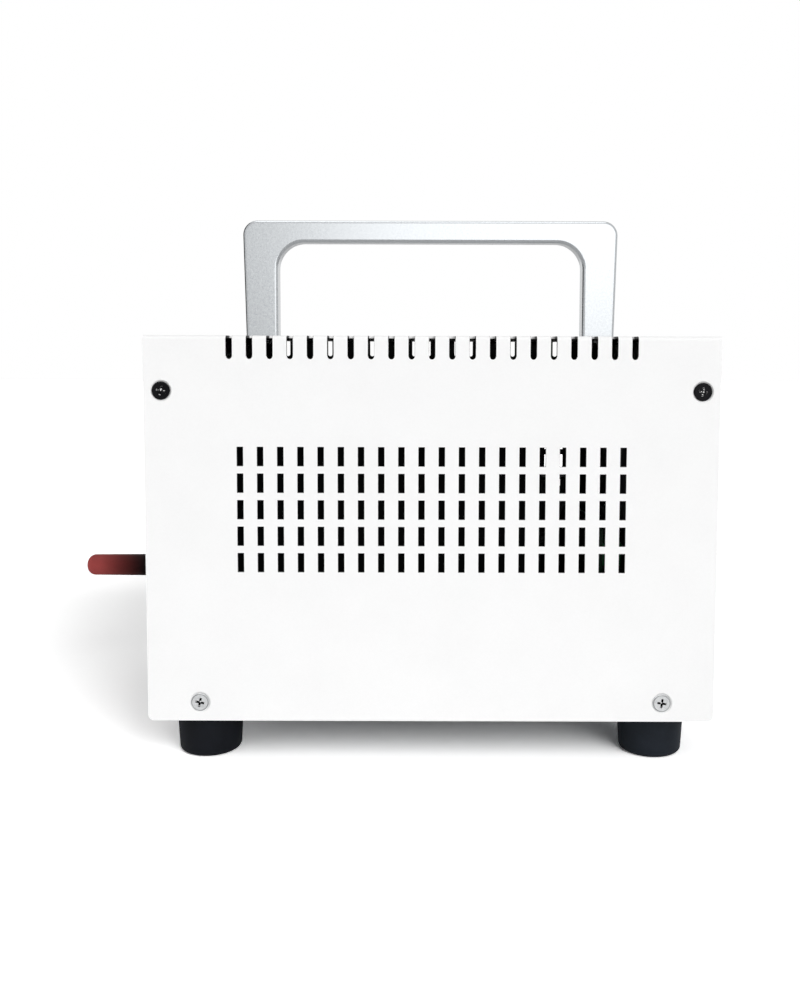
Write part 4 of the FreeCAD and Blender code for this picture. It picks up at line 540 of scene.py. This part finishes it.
# Rear panel: white coated sheet with the fan behind its round opening, the fan's wire guard,
# the mains inlet with its pins, and the rocker switch, held by black screws.
fan_black = grained("fan_black", dark=(26, 26, 28), light=(36, 36, 38),
                    grain=0.4 * MM, rough=(0.44, 0.56), height=0.015 * MM)
inlet_black = grained("inlet_black", dark=(20, 20, 22), light=(30, 30, 32),
                      grain=0.35 * MM, rough=(0.4, 0.52), height=0.012 * MM)
pin_metal = brushed("pin_brass", dark=(196, 178, 130), light=(216, 200, 156), along="y",
                    rough=(0.24, 0.36))
rocker_gloss = grained("rocker_gloss", dark=(16, 16, 17), light=(22, 22, 23),
                       grain=2 * MM, rough=(0.12, 0.2), height=0.006 * MM)
black_screw = grained("black_screw", dark=(24, 24, 26), light=(34, 34, 36),
                      grain=0.3 * MM, rough=(0.26, 0.4), height=0.01 * MM, metallic=0.7)
dress(white_coat, "rear_panel")
dress(fan_black, "fan_frame", "fan_impeller")
dress(chrome, "fan_guard")
dress(inlet_black, "mains_inlet", "rocker_housing")
dress(pin_metal, "inlet_pins")
dress(rocker_gloss, "rocker")
dress(black_screw, "rear_screws", "drawer_screws")


# Rocker marks: the usual bar for on and ring for off, filled with white paint.
# They lie on the two slopes of the rocker and tip with it.
mark_white = grained("mark_white", dark=(226, 226, 224), light=(238, 238, 236),
                     grain=0.3 * MM, rough=(0.5, 0.6), height=0.004 * MM)
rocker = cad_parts["rocker"]
rocker_low, rocker_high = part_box("rocker")
rocker_x, rocker_mid = (rocker_low.x + rocker_high.x) / 2, (rocker_low.z + rocker_high.z) / 2
mark_rise, clear_of_rocker, ring_scale = 4 * MM, 20 * MM, 0.85
on_bar = [[(-0.45, -2), (0.45, -2), (0.45, 2), (-0.45, 2)]]
off_ring = [[(a * ring_scale, b * ring_scale) for a, b in outline] for outline in ring]
across, inwards = Vector((-1, 0, 0)), Vector((0, -1, 0))
for name, outlines, rise in (("rocker_mark_on", on_bar, mark_rise),
                             ("rocker_mark_off", off_ring, -mark_rise)):
    behind = Vector((rocker_x, rocker_high.y + clear_of_rocker, rocker_mid + rise))
    _, spot, normal, _ = rocker.ray_cast(behind, inwards)
    up = normal.cross(across)
    drawn = [[(a * MM, b * MM) for a, b in outline] for outline in outlines]
    points, faces = plate_of(drawn, 0, mark_thick)
    placed = [spot + across * x + up * z + normal * (mark_thick / 2 - y) for x, y, z in points]
    new_piece(name, placed, faces, mark_white, "power_rocker", "rocker_gloss", smooth=False)


# Cover: one folded sheet for both sides and the top, with a row of slots over each upper edge and
# a field of vents in each side, white outside and dark primer inside, the dark inside and on the
# openings' edges also painted shade. Four black screws, with painted glints in their recesses,
# hold it to the panels, and four bright ones, with painted shade in their recesses and round their
# rims, to the base pan.
def in_row(finish, length, middle, pitch, count, half):
    """1 where a length lies within half of one of the middles of an even row, else 0."""
    first = middle - (count - 1) / 2 * pitch
    steps = arithmetic(finish, "DIVIDE", arithmetic(finish, "SUBTRACT", length, first), pitch)
    nearest = arithmetic(finish, "MAXIMUM", arithmetic(finish, "ROUND", steps), 0.0)
    nearest = arithmetic(finish, "MINIMUM", nearest, count - 1.0)
    off = arithmetic(finish, "ABSOLUTE", arithmetic(finish, "SUBTRACT", steps, nearest))
    return arithmetic(finish, "LESS_THAN", off, half / pitch)


def all_of(finish, *shares):
    """1 only where every share is 1."""
    both = shares[0]
    for share in shares[1:]:
        both = arithmetic(finish, "MULTIPLY", both, share)
    return both


def cover_coat():
    """White outside, dark inside; the dark, also on the openings' edges and a thin band round them,
    is primer and painted shade.
    """
    skin, edge, pitch = 1.15 * MM, 0.1 * MM, 10 * MM
    half_width, half_height = 1.5 * MM + edge, 4.75 * MM + edge
    vent_columns, vent_rows, row_pitch, rows_below_top = 20, 5, 13.3 * MM, 86.35 * MM
    slot_count, slot_drop, slot_run = 21, 10.1 * MM, 10.5 * MM
    primer_and_shade = (26, 26, 27)
    finish = grained("cover_coat", **white)
    low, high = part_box("cover")
    middle = (low.y + high.y) / 2
    front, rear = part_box("front_panel")[0].y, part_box("rear_panel")[1].y
    axes = axes_of(finish)
    along, up = axes["Y"], axes["Z"]
    across = arithmetic(finish, "ABSOLUTE", axes["X"])
    inside = all_of(finish, arithmetic(finish, "LESS_THAN", across, high.x - skin),
                    arithmetic(finish, "LESS_THAN", up, high.z - skin),
                    arithmetic(finish, "GREATER_THAN", along, front),
                    arithmetic(finish, "LESS_THAN", along, rear))
    vents = all_of(finish, in_row(finish, along, middle, pitch, vent_columns, half_width),
                   in_row(finish, up, high.z - rows_below_top, row_pitch, vent_rows, half_height))
    slots = all_of(finish, in_row(finish, along, middle, pitch, slot_count, half_width),
                   arithmetic(finish, "GREATER_THAN", up, high.z - slot_drop),
                   arithmetic(finish, "GREATER_THAN", across, high.x - slot_run))
    openings = arithmetic(finish, "MAXIMUM", vents, slots)
    # Painted shade: dark over the inside, the openings' cut walls and a thin band round each
    # opening.
    toned(finish, arithmetic(finish, "MAXIMUM", inside, openings), primer_and_shade)
    return finish


def screw_head(finish, node_name, recess, glint=0.0, rim=None, patchy=False):
    """Paints shade and glints on the heads of four screws, two in line on each long side."""
    cross_reach, lip, rim_inner, rim_outer = 2.45 * MM, 0.25 * MM, 3.9 * MM, 4.3 * MM
    rim_share, spot_size = 0.7, 0.9 * MM
    low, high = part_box(node_name)
    head = (high.z - low.z) / 2
    axes = axes_of(finish)
    along = arithmetic(finish, "SUBTRACT", axes["Y"], (low.y + high.y) / 2)
    along = arithmetic(finish, "SUBTRACT", arithmetic(finish, "ABSOLUTE", along),
                       (high.y - low.y) / 2 - head)
    up = arithmetic(finish, "SUBTRACT", axes["Z"], (low.z + high.z) / 2)
    off_axis = node(finish, "CombineXYZ", {"X": along, "Y": up}).outputs["Vector"]
    apart = node(finish, "VectorMath", {0: off_axis}, operation="LENGTH").outputs["Value"]
    if rim:
        ring_share = all_of(finish, arithmetic(finish, "GREATER_THAN", apart, rim_inner),
                            arithmetic(finish, "LESS_THAN", apart, rim_outer), rim_share)
        toned(finish, ring_share, rim)
    across = arithmetic(finish, "ABSOLUTE", axes["X"])
    inside = all_of(finish, arithmetic(finish, "LESS_THAN", across, high.x - lip),
                    arithmetic(finish, "LESS_THAN", apart, cross_reach),
                    arithmetic(finish, "GREATER_THAN", apart, glint))
    if patchy:
        spots = noise(finish, spot_size, place_on(finish))
        inside = all_of(finish, inside, ranged(finish, spots, 0, 1, start=0.54, end=0.6))
    toned(finish, inside, recess)


# Cover screws: black heads with painted glints, bright spots in their cross recesses.
painted_glint_screw = grained("painted_glint_screw", dark=(20, 20, 22), light=(32, 32, 34),
                     grain=0.3 * MM, rough=(0.26, 0.4), height=0.01 * MM, metallic=1.0)
screw_head(painted_glint_screw, "cover_screws", recess=(250, 250, 250), patchy=True)
# Base screws: painted shade in the cross recess and round the rim, with a painted glint left bare
# in the middle.
bright_screw = grained("bright_screw", dark=(206, 208, 209), light=(232, 233, 234),
                       grain=0.7 * MM, rough=(0.42, 0.54), height=0.006 * MM, patch=3, metallic=1.0)
screw_head(bright_screw, "base_screws", recess=(12, 12, 13), glint=0.45 * MM, rim=(120, 121, 123))
dress(cover_coat(), "cover")
dress(painted_glint_screw, "cover_screws")
dress(bright_screw, "base_screws")


# Carrying handle: a bow of cast aluminium, blasted to a fine even speckle and clear anodised.
# It stands on the top of the cover, bolted from inside.
satin = grained("handle_satin", dark=(176, 179, 182), light=(189, 192, 194),
                grain=0.8 * MM, rough=(0.2, 0.26), height=0.012 * MM, patch=2, metallic=1.0)
dress(satin, "carry_handle")


# Floor: a plain white floor that keeps the oven's shadow. Seen directly it has a second coat, so
# that it runs out to white, while the light it throws back on the oven stays that of one coat.
def flat_panel(name, corners):
    """One flat face of the studio round the oven."""
    mesh = bpy.data.meshes.new(name)
    mesh.from_pydata(corners, [], [(0, 1, 2, 3)])
    panel = bpy.data.objects.new(name, mesh)
    bpy.context.scene.collection.objects.link(panel)
    return panel


def studio_finish(name):
    """An empty material, for the studio's own paints."""
    finish = bpy.data.materials.new(name)
    finish.use_nodes = True
    finish.node_tree.nodes.clear()
    return finish


floor_reach, first_tone, second_tone = 6.0, 0.9, 0.98
floor = flat_panel("floor", [(-floor_reach, -floor_reach, 0), (floor_reach, -floor_reach, 0),
                             (floor_reach, floor_reach, 0), (-floor_reach, floor_reach, 0)])
floor_white = studio_finish("floor_white")
seen_directly = node(floor_white, "LightPath").outputs["Is Camera Ray"]
paint, second_coat = [node(floor_white, "BsdfDiffuse", {"Color": [tone] * 3 + [1]}).outputs[0]
                      for tone in (first_tone, second_tone)]
both_coats = node(floor_white, "AddShader", {0: paint, 1: second_coat}).outputs[0]
coats = node(floor_white, "MixShader", {"Fac": seen_directly, 1: paint, 2: both_coats}).outputs[0]
node(floor_white, "OutputMaterial", {"Surface": coats})
floor.data.materials.append(floor_white)


# Light: an even surround that looks white but lights little, large soft windows, and a grey flag
# in front of the oven that only shows in polished metal.
surround_light, surround_look = 0.15, 1.0
world = bpy.data.worlds.new("studio")
bpy.context.scene.world = world
world.use_nodes = True
surround = world.node_tree.nodes["Background"]
surround.inputs["Color"].default_value = (1, 1, 1, 1)
ray = node(world, "LightPath").outputs
looked_at = ray["Is Camera Ray"]
for other in ("Is Glossy Ray", "Is Transmission Ray"):
    looked_at = arithmetic(world, "MAXIMUM", looked_at, ray[other])
level = ranged(world, looked_at, surround_light, surround_look, start=0, end=1)
world.node_tree.links.new(level, surround.inputs["Strength"])


def soft_light(name, turn, rise, spread, power, on_matt=True, on_gloss=True):
    """Even light from one side: turn from the right-hand side towards the rear, in degrees."""
    lamp = bpy.data.lights.new(name, "SUN")
    lamp.angle = math.radians(spread)
    lamp.energy = power
    holder = bpy.data.objects.new(name, lamp)
    holder.visible_diffuse = on_matt
    holder.visible_glossy = on_gloss
    bpy.context.scene.collection.objects.link(holder)
    turn, rise = math.radians(turn), math.radians(rise)
    way = Vector((math.cos(turn) * math.cos(rise), math.sin(turn) * math.cos(rise), math.sin(rise)))
    holder.rotation_euler = way.to_track_quat("Z", "Y").to_euler()


soft_light("high_window", turn=40, rise=30, spread=40, power=1.96, on_gloss=False)
soft_light("low_window", turn=18, rise=25, spread=30, power=0.62, on_gloss=False)
soft_light("front_fill", turn=-84, rise=35, spread=80, power=0.97, on_gloss=False)
soft_light("back_fill", turn=180, rise=30, spread=80, power=0.2, on_gloss=False)
soft_light("side_window", turn=14.3, rise=6, spread=40, power=0.52, on_matt=False)
soft_light("top_strip", turn=0, rise=78, spread=40, power=0.6, on_matt=False)

flag_y, flag_left, flag_right, flag_top, flag_tone = -1.6, -2.6, 0.5, 2.4, 0.1
flag = flat_panel("front_flag", [(flag_left, flag_y, 0), (flag_right, flag_y, 0),
                                 (flag_right, flag_y, flag_top), (flag_left, flag_y, flag_top)])
for kind in ("camera", "diffuse", "transmission", "volume_scatter", "shadow"):
    setattr(flag, f"visible_{kind}", False)
flag_grey = studio_finish("flag_grey")
flag_glow = node(flag_grey, "Emission", {"Strength": flag_tone}).outputs[0]
node(flag_grey, "OutputMaterial", {"Surface": flag_glow})
flag.data.materials.append(flag_grey)


# Camera: on the right-hand side, level with the top of the case and tipped slightly down.
# Its lens, shift and place were fitted to the vents, the case's corners and the handle.
camera_place, camera_dip, camera_roll = (0.6097, 0.0253, 0.2104), 0.0709, 0.0027
camera = bpy.data.cameras.new("camera")
camera.lens = 36.33
camera.sensor_width = 36
camera.shift_x, camera.shift_y = -0.0203, -0.079
camera.clip_start = 0.01
viewer = bpy.data.objects.new("camera", camera)
bpy.context.scene.collection.objects.link(viewer)
viewer.matrix_world = (Matrix.Translation(camera_place) @ Matrix.Rotation(math.pi / 2, 4, "Z")
                       @ Matrix.Rotation(math.pi / 2 - camera_dip, 4, "X")
                       @ Matrix.Rotation(camera_roll, 4, "Z"))
bpy.context.scene.camera = viewer
bpy.context.scene.view_settings.view_transform = "Standard"
